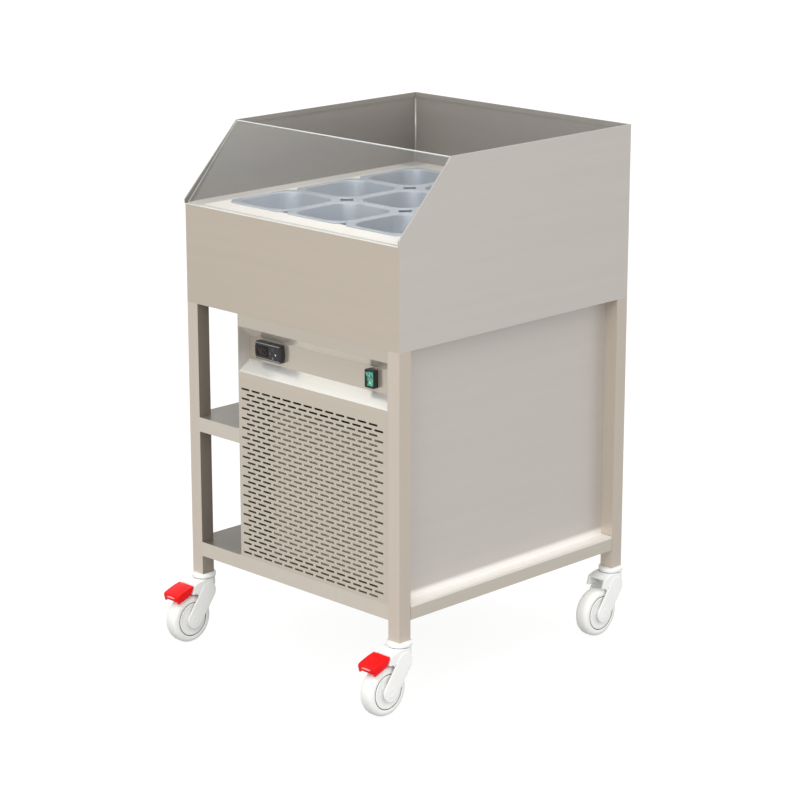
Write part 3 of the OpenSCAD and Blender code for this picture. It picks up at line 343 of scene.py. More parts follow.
finishes = {
    "body_steel": brushedSteel("bodySteel", steelTone, "x"),
    "side_steel": brushedSteel("sideSteel", sideTone, "y"),
    # painted shade on the guards' inner faces, lighter towards the top on the left and back guards
    "left_guard": brushedSteel("leftGuardSteel", guardTone, "y",
                               paintedSides=({"facing": rightward, "share": 0.42, "climb": (*guardShadeFade, 0.66)},)),
    "right_guard": brushedSteel("rightGuardSteel", sideTone, "y", paintedSides=({"facing": leftward, "share": 0.55},)),
    "back_guard": brushedSteel("backGuardSteel", guardTone, "x",
                               paintedSides=({"facing": frontward, "share": 0.57, "climb": (*guardShadeFade, 0.70)},)),
    # painted shade on the legs' faces toward +X, deepest on the left legs' inner sides
    "leg_steel": brushedSteel("legSteel", legTone, "z", paintedSides=({"facing": rightward, "share": 0.84},)),
    "left_leg": brushedSteel("leftLegSteel", legTone, "z", paintedSides=({"facing": rightward, "share": 0.45},)),
    # painted shade on the shelf tops inside the bay
    "shelf_steel": brushedSteel("shelfSteel", shelfTone, "y", paintedSides=({"facing": upward, "share": 0.40, "beyond": bayShadeEnd},)),
    "low_shelf": brushedSteel("lowShelfSteel", shelfTone, "y", paintedSides=lowShelfPaintedLight),
    "casing_steel": brushedSteel("casingSteel", casingTone, "x"),
    # painted shade on the slot walls that face up and down
    "grille_steel": brushedSteel("grilleSteel", casingTone, "x",
                                 paintedSides=({"facing": upward, "share": 0.15}, {"facing": downward, "share": 0.15})),
    # painted highlights on the unit's right panel foot and the fascia slopes
    "unit_side": brushedSteel("unitSideSteel", sideTone, "y", paintedSides=unitPaintedHighlight),
    "fascia_steel": brushedSteel("fasciaSteel", srgb(193, 185, 172), "x", rough=0.20, metal=0.55, paintedSides=fasciaPaintedHighlight),
    # deck: the same steel painted near-white for the light falling on its top, with painted shade on its strips beside
    # the guards
    "deck_steel": brushedSteel("deckSteel", srgb(250, 245, 238), "x", rough=0.42, metal=0.12, paintedSides=deckPaintedShade),
    "bar_plastic": moulded("barPlastic", srgb(20, 20, 22), 0.6, 900, 0.1),
    "pan_steel": satinSteel("panSteel", srgb(172, 180, 190), rough=0.5, metal=0.45),
    "insulation": foamBoard("foamBoard"),
    "copper": drawnCopper("drawnCopper"),
    "clear_screen": clearSheet("clearSheet"),
    "fin_aluminium": finnedMetal("finFoil", (0.60, 0.57, 0.52), 0.45),
    "dark_steel": moulded("darkEnamel", srgb(38, 38, 40), 0.35, 300, 0.05, coat=0.3),
    "fan_plastic": moulded("fanPlastic", srgb(52, 52, 55), 0.5, 700, 0.1),
    "black_plastic": moulded("blackPlastic", srgb(30, 30, 30), 0.42, 1400, 0.25),
    "button_rubber": moulded("buttonRubber", srgb(70, 70, 74), 0.5, 1500, 0.15),
    "rocker_green": litGreen("litGreen"),
    "castor_plastic": moulded("castorPlastic", srgb(247, 248, 247), 0.32, 900, 0.04, coat=0.1, mottle=0.01),
    "castor_fitting": moulded("castorFitting", srgb(247, 248, 247), 0.32, 900, 0.04, coat=0.1, mottle=0.01),
    "tyre_rubber": moulded("tyreRubber", srgb(249, 249, 246), 0.5, 1300, 0.08, mottle=0.01),
    "axle_steel": satinSteel("axleZinc", srgb(190, 192, 194), 0.3, 1.0),
    "pedal_red": moulded("pedalRed", srgb(243, 0, 6), 0.38, 1000, 0.06, mottle=0.05, shine=0.25),
}
# pale red: a painted highlight on the pedal's nose
lipRed = moulded("lipRed", srgb(255, 150, 140), 0.2, 1000, 0.04, coat=0.6)
darkGlass = moulded("displayGlass", srgb(14, 9, 10), 0.2, 400, 0.01, shine=0.2)
markWhite = glowing("markWhite", (0.85, 0.80, 0.74), 0.35)
markBright = glowing("markBright", (1.0, 0.86, 0.84), 0.9)
markDim = glowing("markDim", (0.16, 0.12, 0.11), 0.1)
displayDim = glowing("displayDim", (0.10, 0.03, 0.025), 0.06)
markRed = glowing("markRed", (0.55, 0.05, 0.03), 0.25)
trimGrey = moulded("trimGrey", srgb(150, 152, 154), 0.3, 900, 0.05, coat=0.4)
# dark: painted shade in the tyre's seam
gapDark = moulded("gapDark", srgb(34, 35, 36), 0.8, 900, 0.1, shine=0.1)
# grey: the collar plate's painted shadow on the castor hood
gapGrey = moulded("gapGrey", srgb(120, 121, 122), 0.7, 900, 0.1, shine=0.2)
# pale edge colour: a painted highlight on the clear sheet's edges
sheetEdge = moulded("sheetEdge", srgb(226, 230, 228), 0.25, 500, 0.03, coat=0.3)
print("finishes made:", len(finishes))

edgeRounding = {"width": 0.7 * mm, "steps": 2, "from": math.radians(40)}
notRounded = ("grille_panel", "pan_", "condenser", "glass", "well_insulation", "cooling_coil", "deck", "front_panel")
slotOfNode = {part["node"]: part["material_slot"] for part in frame["record"]["subparts"]}
steelOfNode = {"left_side_panel": "left_guard", "right_side_panel": "right_guard", "back_panel": "back_guard",
               "unit_left_wall": "side_steel", "unit_right_panel": "unit_side", "control_fascia": "fascia_steel",
               "grille_panel": "grille_steel", "leg_front_left": "left_leg", "leg_back_left": "left_leg",
               "bottom_shelf": "low_shelf"}


def dressNodes():
    for name, node in nodes.items():
        finish = finishes[steelOfNode.get(name, slotOfNode[name])]
        node.data.materials.clear()
        node.data.materials.append(finish)
        if not name.startswith(notRounded):
            rounder = node.modifiers.new("roundedEdges", "BEVEL")
            rounder.width = edgeRounding["width"]
            rounder.segments = edgeRounding["steps"]
            rounder.limit_method = "ANGLE"
            rounder.angle_limit = edgeRounding["from"]


dressNodes()
print("CAD nodes dressed")


def meshPiece(name, made, finish, body, smooth=True):
    points, faces = made
    mesh = bpy.data.meshes.new(name)
    mesh.from_pydata([tuple(p) for p in points], [], faces)
    mesh.validate()
    piece = bpy.data.objects.new(name, mesh)
    scene.collection.objects.link(piece)
    cleaned = bmesh.new()
    cleaned.from_mesh(mesh)
    bmesh.ops.recalc_face_normals(cleaned, faces=cleaned.faces)
    cleaned.to_mesh(mesh)
    cleaned.free()
    mesh.materials.append(finish)
    for face in mesh.polygons:
        face.use_smooth = smooth
    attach(piece, body)
    return piece


def roundedLoop(width, length, radius, height, steps=8):
    # points of a round-cornered rectangle, the same count at any size
    loop = []
    for corner, (sx, sy) in enumerate(((1, 1), (-1, 1), (-1, -1), (1, -1))):
        for i in range(steps + 1):
            angle = math.radians(90 * corner + 90 * i / steps)
            loop.append(Vector((sx * (width / 2 - radius) + radius * math.cos(angle),
                                sy * (length / 2 - radius) + radius * math.sin(angle), height)))
    return loop


def clippedLoop(width, length, cut, turn, height, steps=8):
    # rectangle whose corners are cut off at 45 degrees, with a soft turn at both ends of each cut
    loop = []
    slip = turn * math.tan(math.radians(22.5))
    for corner, (sx, sy) in enumerate(((1, 1), (-1, 1), (-1, -1), (1, -1))):
        first = Vector((sx * (width / 2 - turn), sy * (length / 2 - cut - slip), height))
        last = Vector((sx * (width / 2 - cut - slip), sy * (length / 2 - turn), height))
        if corner % 2:
            first, last = last, first
        for i in range(steps + 1):
            start = first if i <= steps / 2 else last
            angle = math.radians(90 * corner + 90 * i / steps)
            if i == steps / 2:
                loop.append((first + last) / 2 + Vector((math.cos(angle), math.sin(angle), 0)) * turn)
            else:
                bend = min(i, steps - i) / (steps / 2 - 1) * 45
                angle = math.radians(90 * corner + (bend if i < steps / 2 else 90 - bend))
                loop.append(start + Vector((math.cos(angle), math.sin(angle), 0)) * turn)
    return loop


def skinLoops(loops):
    # quads between loops of equal count, with a fan at either end
    count = len(loops[0])
    points = [p for loop in loops for p in loop]
    faces = []
    for a in range(len(loops) - 1):
        for i in range(count):
            j = (i + 1) % count
            faces.append((a * count + i, a * count + j, (a + 1) * count + j, (a + 1) * count + i))
    for first in (0, (len(loops) - 1) * count):
        ring = points[first:first + count]
        points.append(sum(ring, Vector((0, 0, 0))) / count)
        for i in range(count):
            faces.append((first + i, first + (i + 1) % count, len(points) - 1))
    return points, faces


def turned(profile, steps=64, axis="x"):
    # lathe about an axis: profile of (place along it, radius), closed at both ends
    loops = []
    for x, radius in profile:
        loops.append([Vector((x, radius * math.cos(2 * math.pi * i / steps), radius * math.sin(2 * math.pi * i / steps)))
                      for i in range(steps)])
    points, faces = skinLoops(loops)
    if axis == "y":
        points = [Vector((p.y, p.x, p.z)) for p in points]
    elif axis == "z":
        points = [Vector((p.y, p.z, p.x)) for p in points]
    return points, faces


def slab(outline, low, high, axis="x"):
    # outline of (a, b) pushed from low to high along an axis
    def at(a, b, c):
        return Vector((c, a, b)) if axis == "x" else Vector((a, c, b)) if axis == "y" else Vector((a, b, c))
    count = len(outline)
    points = [at(a, b, low) for a, b in outline] + [at(a, b, high) for a, b in outline]
    faces = [tuple(range(count)), tuple(range(count, 2 * count))]
    faces += [(i, (i + 1) % count, count + (i + 1) % count, count + i) for i in range(count)]
    return points, faces


def placed(made, move=(0, 0, 0)):
    # millimetres to metres, moved to its place
    points, faces = made
    return [p * mm + Vector(move) for p in points], faces


def softened(piece, width, steps=3, angle=30):
    # rounds the edges, by a width in millimetres
    rounder = piece.modifiers.new("roundedEdges", "BEVEL")
    rounder.width = width * mm
    rounder.segments = steps
    rounder.limit_method = "ANGLE"
    rounder.angle_limit = math.radians(angle)
    return piece


def arcPoints(centre, radius, start, end, steps):
    return [(centre[0] + radius * math.cos(math.radians(start + (end - start) * i / steps)),
             centre[1] + radius * math.sin(math.radians(start + (end - start) * i / steps))) for i in range(steps + 1)]


def centreOf(name):
    low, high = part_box(name)
    return (low + high) / 2


panForm = {"rim": 10, "rimHeight": 2.7, "edgeRoll": 1.1, "mouthRoll": 3.0, "cut": 16, "cutTurn": 9, "mouthCorner": 40,
           "taper": 10, "wall": 2, "floorRound": 16, "floorRise": 0.8, "flatInset": 5.5, "flatCorner": 33}


def panPoints(width, length, depth):
    form = panForm
    top = form["rimHeight"]

    def ring(inset, corner, z):
        return roundedLoop(width - 2 * inset, length - 2 * inset, corner, z, 10)

    def wallRing(drop, out):
        # out is 0 on the inside and the wall's thickness on the outside
        share = drop / depth
        return form["rim"] - out + form["taper"] * share, (form["mouthCorner"] + out) * (1 - 0.14 * share)

    loops = []
    floorZ = top - depth + form["wall"]
    inset, corner = wallRing(depth - form["wall"], 0)
    for part in (0.25, 0.6, 0.85):
        loops.append(ring(inset + form["floorRound"] + (1 - part) * 30, corner * 0.7 * part + 3,
                          floorZ + form["floorRise"] * (1 - part)))
    for i in range(6):
        turn = math.radians(90 * i / 5)
        flat = form["floorRound"] * (1 - math.sin(turn))
        loops.append(ring(inset + flat, max(corner - flat, 6), floorZ + form["floorRound"] * (1 - math.cos(turn))))
    for drop in (110, 75, 40, 15):
        inset, corner = wallRing(drop, 0)
        loops.append(ring(inset, corner, top - drop))
    roll = form["mouthRoll"]
    for i in range(5):
        turn = math.radians(90 * i / 4)
        loops.append(ring(form["rim"] - roll * (1 - math.cos(turn)), form["mouthCorner"] + roll * (1 - math.cos(turn)) * 0.6,
                          top - roll * (1 - math.sin(turn))))
    loops.append(ring(form["flatInset"], form["flatCorner"], top))
    edge = form["edgeRoll"]

    def rimRing(inset, z):
        return clippedLoop(width - 2 * inset, length - 2 * inset, form["cut"] - inset * 0.59, form["cutTurn"], z, 10)

    for i in range(4):
        turn = math.radians(90 * i / 3)
        loops.append(rimRing(edge * (1 - math.sin(turn)), top - edge * (1 - math.cos(turn))))
    loops.append(rimRing(0, 0))
    loops.append(ring(form["rim"] - form["wall"] - 0.5, form["mouthCorner"] - 4, 0))
    for drop in (6, 60, 120, depth - 14):
        inset, corner = wallRing(drop, form["wall"])
        loops.append(ring(inset, corner, -drop + top * drop / depth))
    inset, corner = wallRing(depth, form["wall"])
    for i in range(5):
        turn = math.radians(90 * i / 4)
        flat = form["floorRound"] * (1 - math.cos(turn))
        loops.append(ring(inset + flat, max(corner - flat, 6), top - depth + form["floorRound"] * (1 - math.sin(turn))))
    return skinLoops(loops)


def makePans():
    panNodes = [n for n in nodes if n.startswith("pan_") and n != "pan_bars"]
    shared = None
    for name in panNodes:
        low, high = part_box(name)
        size = (high - low) / mm
        if shared is None:
            shared = panPoints(size.x, size.y, size.z)
        place = ((low.x + high.x) / 2, (low.y + high.y) / 2, high.z - panForm["rimHeight"] * mm)
        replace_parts(meshPiece(name + "_pressed", placed(shared, place), finishes["pan_steel"], name), name)
    print("pans made:", len(panNodes))


makePans()

screenForm = {"edgeRound": 0.7, "lipHigh": 2.0, "seam": 0.03}


def makeScreen():
    # clear sheet whose foot, ends and top edge are pale: a painted highlight where its edges catch the light
    low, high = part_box("glass_screen")
    spots = {(round(v.co.y / mm, 3), round(v.co.z / mm, 3)) for v in nodes["glass_screen"].data.vertices}
    byHeight = sorted(spots, key=lambda p: p[1])
    foot, toe = sorted(byHeight[:2])
    head, headBack = sorted(byHeight[2:])
    along = (Vector(head) - Vector(foot)).normalized()
    across = Vector((along.y, -along.x))

    def below(drop, *corners):
        return [tuple(Vector(p) - along * drop) for p in corners]

    lipHigh = screenForm["lipHigh"]
    pieces = (("clearScreen", [foot, toe] + below(lipHigh + screenForm["seam"], headBack, head), finishes["clear_screen"]),
              ("screenLip", below(lipHigh, head, headBack) + [headBack, head], sheetEdge))
    for name, outline, finish in pieces:
        piece = meshPiece(name, placed(slab(outline, low.x / mm, high.x / mm)), finish, "frame", smooth=False)
        piece.data.materials.append(sheetEdge)
        for face in piece.data.polygons:
            if abs(face.normal.y * across.x + face.normal.z * across.y) < 0.9:
                face.material_index = 1
        softened(piece, screenForm["edgeRound"], 2)
        if name == "clearScreen":
            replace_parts(piece, "glass_screen")


makeScreen()
print("screen made")

castorForm = {"headRadius": 23.5, "headTop": 129.7, "headLow": 104.7, "armIn": 20, "armOut": 24, "trail": 45,
              "axle": 50, "armEnd": 18, "armTop": (-7, 103), "armTopRadius": 19, "hoodIn": 17.5, "hoodHalf": 23.2,
              "boss": 11.5, "bossRise": 0.35, "bossRoot": 1.5, "voxel": 0.8, "relax": 3, "keep": 0.22}
# the hood slopes down to the pedal, and its lower edge runs level over the tyre: (y, z) from the swivel's line
hoodTop = [(4, 129.7), (-22, 129.7), (-30, 128), (-42.6, 124)]
hoodSide = hoodTop + [(-43.6, 122.8), (-49.2, 106), (-48.6, 104.9), (-40, 104.2), (-30, 103.4), (-16, 103), (4, 104)]
hoodRoof = hoodTop + [(-43.4, 120.6), (-28, 125), (-20, 126.4), (4, 126.4)]
castors = [name[5:] for name in nodes if name.startswith("fork_")]


def swivelOf(which):
    low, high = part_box("fork_" + which)
    return Vector(((low.x + high.x) / 2, centreOf("leg_" + which).y, 0))


def armOutline():
    form = castorForm
    top, end = Vector(form["armTop"]), Vector((-form["trail"], form["axle"]))
    run = end - top
    lean = math.degrees(math.atan2(run.y, run.x))
    side = math.degrees(math.acos((form["armTopRadius"] - form["armEnd"]) / run.length))
    return (arcPoints(end, form["armEnd"], lean - side, lean + side, 16)
            + arcPoints(top, form["armTopRadius"], lean + side, lean + 360 - side, 24))


def makeHousing():
    # head, two arms with bosses and a hood, melted into one moulding
    form = castorForm
    parts = bmesh.new()

    def join(made):
        points, faces = made
        corners = [parts.verts.new(p) for p in points]
        for face in faces:
            parts.faces.new([corners[i] for i in face])

    def onSide(outline, side, inner, outer):
        join(slab(outline, *sorted((side * inner, side * outer))))

    join(turned([(form["headTop"], form["headRadius"] - 0.6), (form["headTop"] - 14, form["headRadius"]),
                 (form["headLow"] + 6, form["headRadius"] - 0.6), (form["headLow"], form["headRadius"] - 3.5)], 48, "z"))
    arm = [(a, min(b, form["headTop"])) for a, b in armOutline()]
    boss = arcPoints((-form["trail"], form["axle"]), form["boss"], 0, 345, 23)
    for side in (-1, 1):
        onSide(arm, side, form["armIn"], form["armOut"])
        onSide(boss, side, form["armOut"] - form["bossRoot"], form["armOut"] + form["bossRise"])
        onSide(hoodSide, side, form["hoodIn"], form["hoodHalf"])
    join(slab(hoodRoof, -form["hoodHalf"], form["hoodHalf"]))
    bmesh.ops.recalc_face_normals(parts, faces=parts.faces)
    rough = bpy.data.meshes.new("castorHousingRough")
    parts.to_mesh(rough)
    parts.free()
    body = bpy.data.objects.new("castorHousingRough", rough)
    scene.collection.objects.link(body)
    skin = body.modifiers.new("skin", "REMESH")
    skin.mode = "VOXEL"
    skin.voxel_size = form["voxel"]
    relax = body.modifiers.new("relax", "SMOOTH")
    relax.factor = 0.5
    relax.iterations = form["relax"]
    thin = body.modifiers.new("thin", "DECIMATE")
    thin.ratio = form["keep"]
    bpy.context.view_layer.update()
    done = bpy.data.meshes.new_from_object(body.evaluated_get(bpy.context.evaluated_depsgraph_get()))
    bpy.data.objects.remove(body)
    done.transform(Matrix.Scale(mm, 4))
    done.materials.clear()
    done.materials.append(finishes["castor_plastic"])
    for face in done.polygons:
        face.use_smooth = True
    print("castor housing:", len(done.polygons), "faces")
    return done


def makeForks():
    housing = makeHousing()
    for which in castors:
        mesh = housing.copy()
        mesh.transform(Matrix.Translation(swivelOf(which)))
        piece = bpy.data.objects.new("housing_" + which, mesh)
        scene.collection.objects.link(piece)
        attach(piece, "castor_" + which)
        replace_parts(piece, "fork_" + which)


wheelForm = {"radius": 50, "half": 15.5, "ring": 35, "hub": 13, "groove": 0.75, "grooveDepth": 0.5, "steps": 96}


def makeWheels():
    # pale tyre, moulded centre and a dark ring of painted shade in the seam between them, each turned about the axle
    form = wheelForm
    ring, half, radius, hub = form["ring"], form["half"], form["radius"], form["hub"]
    inside, outside, bottom = ring - form["groove"], ring + form["groove"], half - form["grooveDepth"]
    tyre = [(bottom - 1, outside), (half - 0.4, outside), (half, outside + 0.5), (half - 0.2, radius - 9),
            (half - 1.4, radius - 5), (half - 3.6, radius - 2.4), (half - 6.6, radius - 0.8), (half - 10, radius - 0.15)]
    tyre = [(-x, r) for x, r in tyre] + [(0, radius)] + [(x, r) for x, r in reversed(tyre)]
    centre = [(half - 3.0, 7), (half - 0.6, 7.2), (half - 0.2, 8), (half - 0.2, hub), (half - 0.9, hub + 1.2),
              (half - 1.1, hub + 4), (half - 1.0, ring - 8), (half - 0.3, ring - 5), (half, inside - 0.6),
              (half - 0.4, inside), (bottom - 1, inside)]
    centre = [(-x, r) for x, r in centre] + [(x, r) for x, r in reversed(centre)]
    seam = [(0.8 - bottom, inside - 1), (-bottom, inside - 0.4), (-bottom, outside + 0.4),
            (bottom, outside + 0.4), (bottom, inside - 0.4), (bottom - 0.8, inside - 1)]
    for which in castors:
        wheel = "wheel_" + which

        def turnedPiece(name, profile, finish):
            return meshPiece(name + which, placed(turned(profile, form["steps"]), centreOf(wheel)), finish, wheel)

        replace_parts(turnedPiece("tyre_", tyre, finishes["tyre_rubber"]), wheel)
        turnedPiece("wheelCentre_", centre, finishes["castor_plastic"])
        # dark ring of painted shade in the seam
        turnedPiece("tyreSeamShade_", seam, gapDark)


capForm = {"radius": 9.6, "rise": 0.55, "dish": 4.0, "pin": 5.8}


def makeAxles():
    # the pin through the wheel with a low moulded cap over each head
    radius, rise, dish, pin = capForm["radius"], capForm["rise"], capForm["dish"], capForm["pin"]
    out = castorForm["armOut"]
    cap = [(out - 1.5, radius), (out + 0.1, radius), (out + rise * 0.8, radius - 0.5),
           (out + rise, radius - 1.4), (out + rise, dish + 1), (out + rise * 0.4, dish)]
    profile = [(-x, r) for x, r in reversed(cap)] + [(-out + 1.5, pin), (out - 1.5, pin)] + cap
    for which in castors:
        piece = meshPiece("axleCaps_" + which, placed(turned(profile, 40), centreOf("axle_" + which)),
                          finishes["castor_plastic"], "castor_" + which)
        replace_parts(piece, "axle_" + which)


# (height, radius) of the round plate under a leg and of the dark line round its foot, a painted shadow of the plate
collarForm = {"plate": [(130, 0.5), (130, 22.2), (131.1, 22.6), (131.3, 24.6), (132, 25), (138.6, 25), (139.7, 24.4),
                        (140, 23.4), (140, 0.5)],
              "line": [(129.9, 0.5), (129.9, 22.4), (130.3, 23.0), (131.1, 23.0), (131.2, 0.5)]}


def makeCollars():
    first = None
    for which in castors:
        plate, line = [placed(turned(collarForm[part], 64, "z"), swivelOf(which)) for part in ("plate", "line")]
        piece = meshPiece("collar_" + which, plate, finishes["castor_fitting"], "frame")
        softened(piece, 0.3, 1, 50)
        # grey ring of painted shadow under the plate
        meshPiece("collarLine_" + which, line, gapGrey, "frame")
        first = first or piece
    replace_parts(first, "castor_mounts")


pedalForm = {"half": 22, "cheek": 17.3, "back": -46.5, "front": -90, "backTop": 123.4, "backLow": (-54.5, 105.4),
             "frontTop": 110.5, "frontLow": (-87, 93.5), "middleLow": (-67, 100.5), "tyreGap": 1.8,
             "pivot": (-29, 118.7), "travel": 12, "arm": [(-30, 122), (-47, 119), (-47, 111.5), (-30, 115)], "armHalf": 10}


def pedalHollow():
    # underside that clears the tyre, also with the pedal pressed
    form = pedalForm
    turn = math.radians(form["travel"])
    pivot = Vector(form["pivot"])
    toAxle = Vector((-castorForm["trail"], castorForm["axle"])) - pivot
    tyre = pivot + Vector((toAxle.x * math.cos(turn) + toAxle.y * math.sin(turn),
                           -toAxle.x * math.sin(turn) + toAxle.y * math.cos(turn)))
    reach = wheelForm["radius"] + form["tyreGap"]
    start, end = form["front"] + 4, form["back"] - 7
    return [(start + (end - start) * i / 8,
             tyre.y + math.sqrt(max(reach ** 2 - (start + (end - start) * i / 8 - tyre.x) ** 2, 0))) for i in range(9)]


def makePedals():
    form = pedalForm
    back, front, cheek, frontTop = form["back"], form["front"], form["cheek"], form["frontTop"]
    top = [(back, form["backTop"] - 0.8), (back - 1.6, form["backTop"]), (back - 14, form["backTop"] - 2.9),
           (front + 15, frontTop + 5.4), (front + 5, frontTop + 1.6), (front + 0.8, frontTop - 1), (front, frontTop - 4)]
    paddle = top + [(front + 0.6, 98)] + pedalHollow() + [(back - 5.6, 111)]
    side = top + [form["frontLow"], form["middleLow"], form["backLow"]]
    apron = [(front + 0.1, frontTop - 4), (front + 0.4, 100), (front + 0.9, 98), (front + 3.4, 98.6), (front + 4, frontTop - 4)]
    # name, outline, from and to along X, rounding and its steps and angle; the cheeks pass beside the tyre
    sheets = (("paddle_%s", paddle, -cheek - 0.5, cheek + 0.5, 1.2, 3, 25),
              ("pedalCheek_%s_left", side, -form["half"], -cheek, 1.1, 3, 25),
              ("pedalCheek_%s_right", side, cheek, form["half"], 1.1, 3, 25),
              ("pedalApron_%s", apron, -cheek - 0.4, cheek + 0.4, 0.6, 2, 30),
              ("pedalArm_%s", form["arm"], -form["armHalf"], form["armHalf"], 1.0, 2, 30))
    for which in [name for name in castors if name.startswith("front")]:
        for name, outline, low, high, edge, steps, angle in sheets:
            piece = meshPiece(name % which, placed(slab(outline, low, high), swivelOf(which)), finishes["pedal_red"],
                              "pedal_" + which)
            softened(piece, edge, steps, angle)
            if outline is paddle:
                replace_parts(piece, "pedal_" + which)
        makePedalLip(which)


lipForm = {"half": 12.5, "height": 3.8, "drop": 5.2, "bow": 1.5, "shift": 1, "rise": 0.9, "root": 1.5}


def makePedalLip(which):
    # raised crescent under the nose's edge, where a toe lifts the pedal, in a pale red that is a painted highlight
    form = lipForm
    front, top = pedalForm["front"], pedalForm["frontTop"] - form["drop"]
    upper = [(form["half"] * (i / 6 - 1), form["bow"] * (1 - (i / 6 - 1) ** 2)) for i in range(13)]
    lower = [(a, b - form["height"] * (1 - (a / form["half"]) ** 2) ** 0.5) for a, b in upper]
    outline = [(a + form["shift"], b + top) for a, b in upper + lower[-2:0:-1]]
    made = placed(slab(outline, front - form["rise"], front + form["root"], "y"), swivelOf(which))
    softened(meshPiece("pedalLip_" + which, made, lipRed, "pedal_" + which), 0.7)


makeForks()
makeWheels()
makeAxles()
makeCollars()
makePedals()
print("castors made:", len(castors))

# in millimetres from the middle of the controller's face
controllerForm = {"bow": 56, "window": (-32, 3, -11, 10.5), "rail": (-36, 34, 14.2, 15.6),
                  "bracket": [(-37.4, -6), (-36.4, -6), (-36.0, 0), (-36.4, 6), (-37.4, 6), (-37.2, 0)]}


def bowedOutline(width, height, inset, bow, steps=10):
    # rectangle whose ends bulge as arcs
    w, h = width / 2 - inset, height / 2 - inset
    half = math.degrees(math.asin(h / bow))
    right = arcPoints((w - bow, 0), bow, -half, half, steps)
    return right + [(-a, -b) for a, b in right]


def makeController():
    low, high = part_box("controller_body")
    centre = (low + high) / 2
    width, height = (high.x - low.x) / mm, (high.z - low.z) / mm
    form = controllerForm
    spot = (centre.x, low.y, centre.z)

    def layer(name, outline, near, far, finish, edge, steps):
        piece = meshPiece(name, placed(slab(outline, near, far, "y"), spot), finish, "frame")
        return softened(piece, edge, steps)

    black = finishes["black_plastic"]
    shell = layer("controllerShell", bowedOutline(width, height, 0.0, form["bow"]), 1.6, 13, black, 1.2, 3)
    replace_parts(shell, "controller_body")
    layer("controllerFace", bowedOutline(width, height, 2.4, form["bow"]), 0.4, 6, black, 0.8, 3)
    # thin raised line below and above the face, and a short bracket at its left end
    left, right, inner, outer = form["rail"]
    for end, side in (("low", -1), ("top", 1)):
        rail = [(left, side * inner), (right, side * inner), (right, side * outer), (left, side * outer)]
        layer("controllerRail_" + end, rail, 0.1, 3, trimGrey, 0.3, 2)
    layer("controllerBracket", form["bracket"], 0.1, 3, trimGrey, 0.2, 2)
    x0, x1, z0, z1 = form["window"]
    window = [(p.x + (x0 + x1) / 2, p.y + (z0 + z1) / 2) for p in roundedLoop(x1 - x0, z1 - z0, 2, 0, 4)]
    layer("controllerWindow", window, 0.1, 2, darkGlass, 0.3, 2)
    makeDigits(spot)


digitForm = {"height": 11, "width": 6, "bar": 1.1, "gapHalf": 0.2, "lean": 0.08, "pitch": 9, "start": -22.5, "proud": 0.06}
digitBars = {"4": "bcfg", "0": "abcdef", "5": "acdfg"}


def makeDigits(spot):
    # unlit seven-bar figures behind the dark window
    h, w, t = digitForm["height"], digitForm["width"], digitForm["bar"]
    bars = {"a": (0, h / 2, w, t), "d": (0, -h / 2, w, t), "g": (0, 0, w, t), "f": (-w / 2, h / 4, t, h / 2),
            "b": (w / 2, h / 4, t, h / 2), "e": (-w / 2, -h / 4, t, h / 2), "c": (w / 2, -h / 4, t, h / 2)}
    points, faces = [], []
    for index, figure in enumerate("405"):
        for bar in digitBars[figure]:
            x, z, wide, tall = bars[bar]
            x += digitForm["start"] + index * digitForm["pitch"] + digitForm["lean"] * z
            wide, tall = wide / 2 - digitForm["gapHalf"], tall / 2 - digitForm["gapHalf"]
            first = len(points)
            points += [Vector((a, digitForm["proud"], b))
                       for a, b in ((x - wide, z - tall), (x + wide, z - tall), (x + wide, z + tall), (x - wide, z + tall))]
            faces.append((first, first + 1, first + 2, first + 3))
    meshPiece("displayFigures", placed((points, faces), spot), displayDim, "frame", smooth=False)


# the dome as depth in millimetres and share of the radius, the marks as corners and ink
buttonForm = {"dome": ((0.0, 0.35), (0.12, 0.72), (0.5, 0.95), (1.0, 1.0), (5, 1.0)), "markRadius": 1.5, "markDepth": 0.3}
buttonMarks = {"button_up": (3, markDim), "button_down": (4, markWhite),
               "button_left": (6, markRed), "button_right": (12, markBright)}


def makeButtons():
    # domed caps with a small mark each
    for name, (corners, ink) in buttonMarks.items():
        low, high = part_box(name)
        spot = ((low.x + high.x) / 2, low.y, (low.z + high.z) / 2)
        radius = (high.x - low.x) / 2 / mm
        dome = [(depth, radius * part) for depth, part in buttonForm["dome"]]
        cap = placed(turned(dome, 32, "y"), spot)
        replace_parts(meshPiece(name + "_cap", cap, finishes["button_rubber"], name), name)
        turns = [2 * math.pi * i / corners for i in range(corners)]
        outline = [(buttonForm["markRadius"] * math.sin(turn), buttonForm["markRadius"] * math.cos(turn)) for turn in turns]
        mark = placed(slab(outline, 0.0, buttonForm["markDepth"], "y"), spot)
        meshPiece(name + "_mark", mark, ink, name, smooth=False)


# in millimetres; the rocker and its marks are measured from its pivot
switchForm = {"wall": 2.4, "corner": 2.4, "depth": 10.5, "dish": 1.6, "tilt": 8, "tall": 14.2, "front": -6.4, "pivotDepth": 9,
              "gap": 0.45, "heel": [(-2, 14.2), (2.4, 5.5), (2.4, -5.5), (-2, -14.2)],
              "onMark": [(-0.5, 4.5), (0.5, 4.5), (0.5, 9.5), (-0.5, 9.5)], "onFront": -7.45,
              "offMark": (0, -7), "offRadii": (2.6, 1.8), "offFront": -7.35}


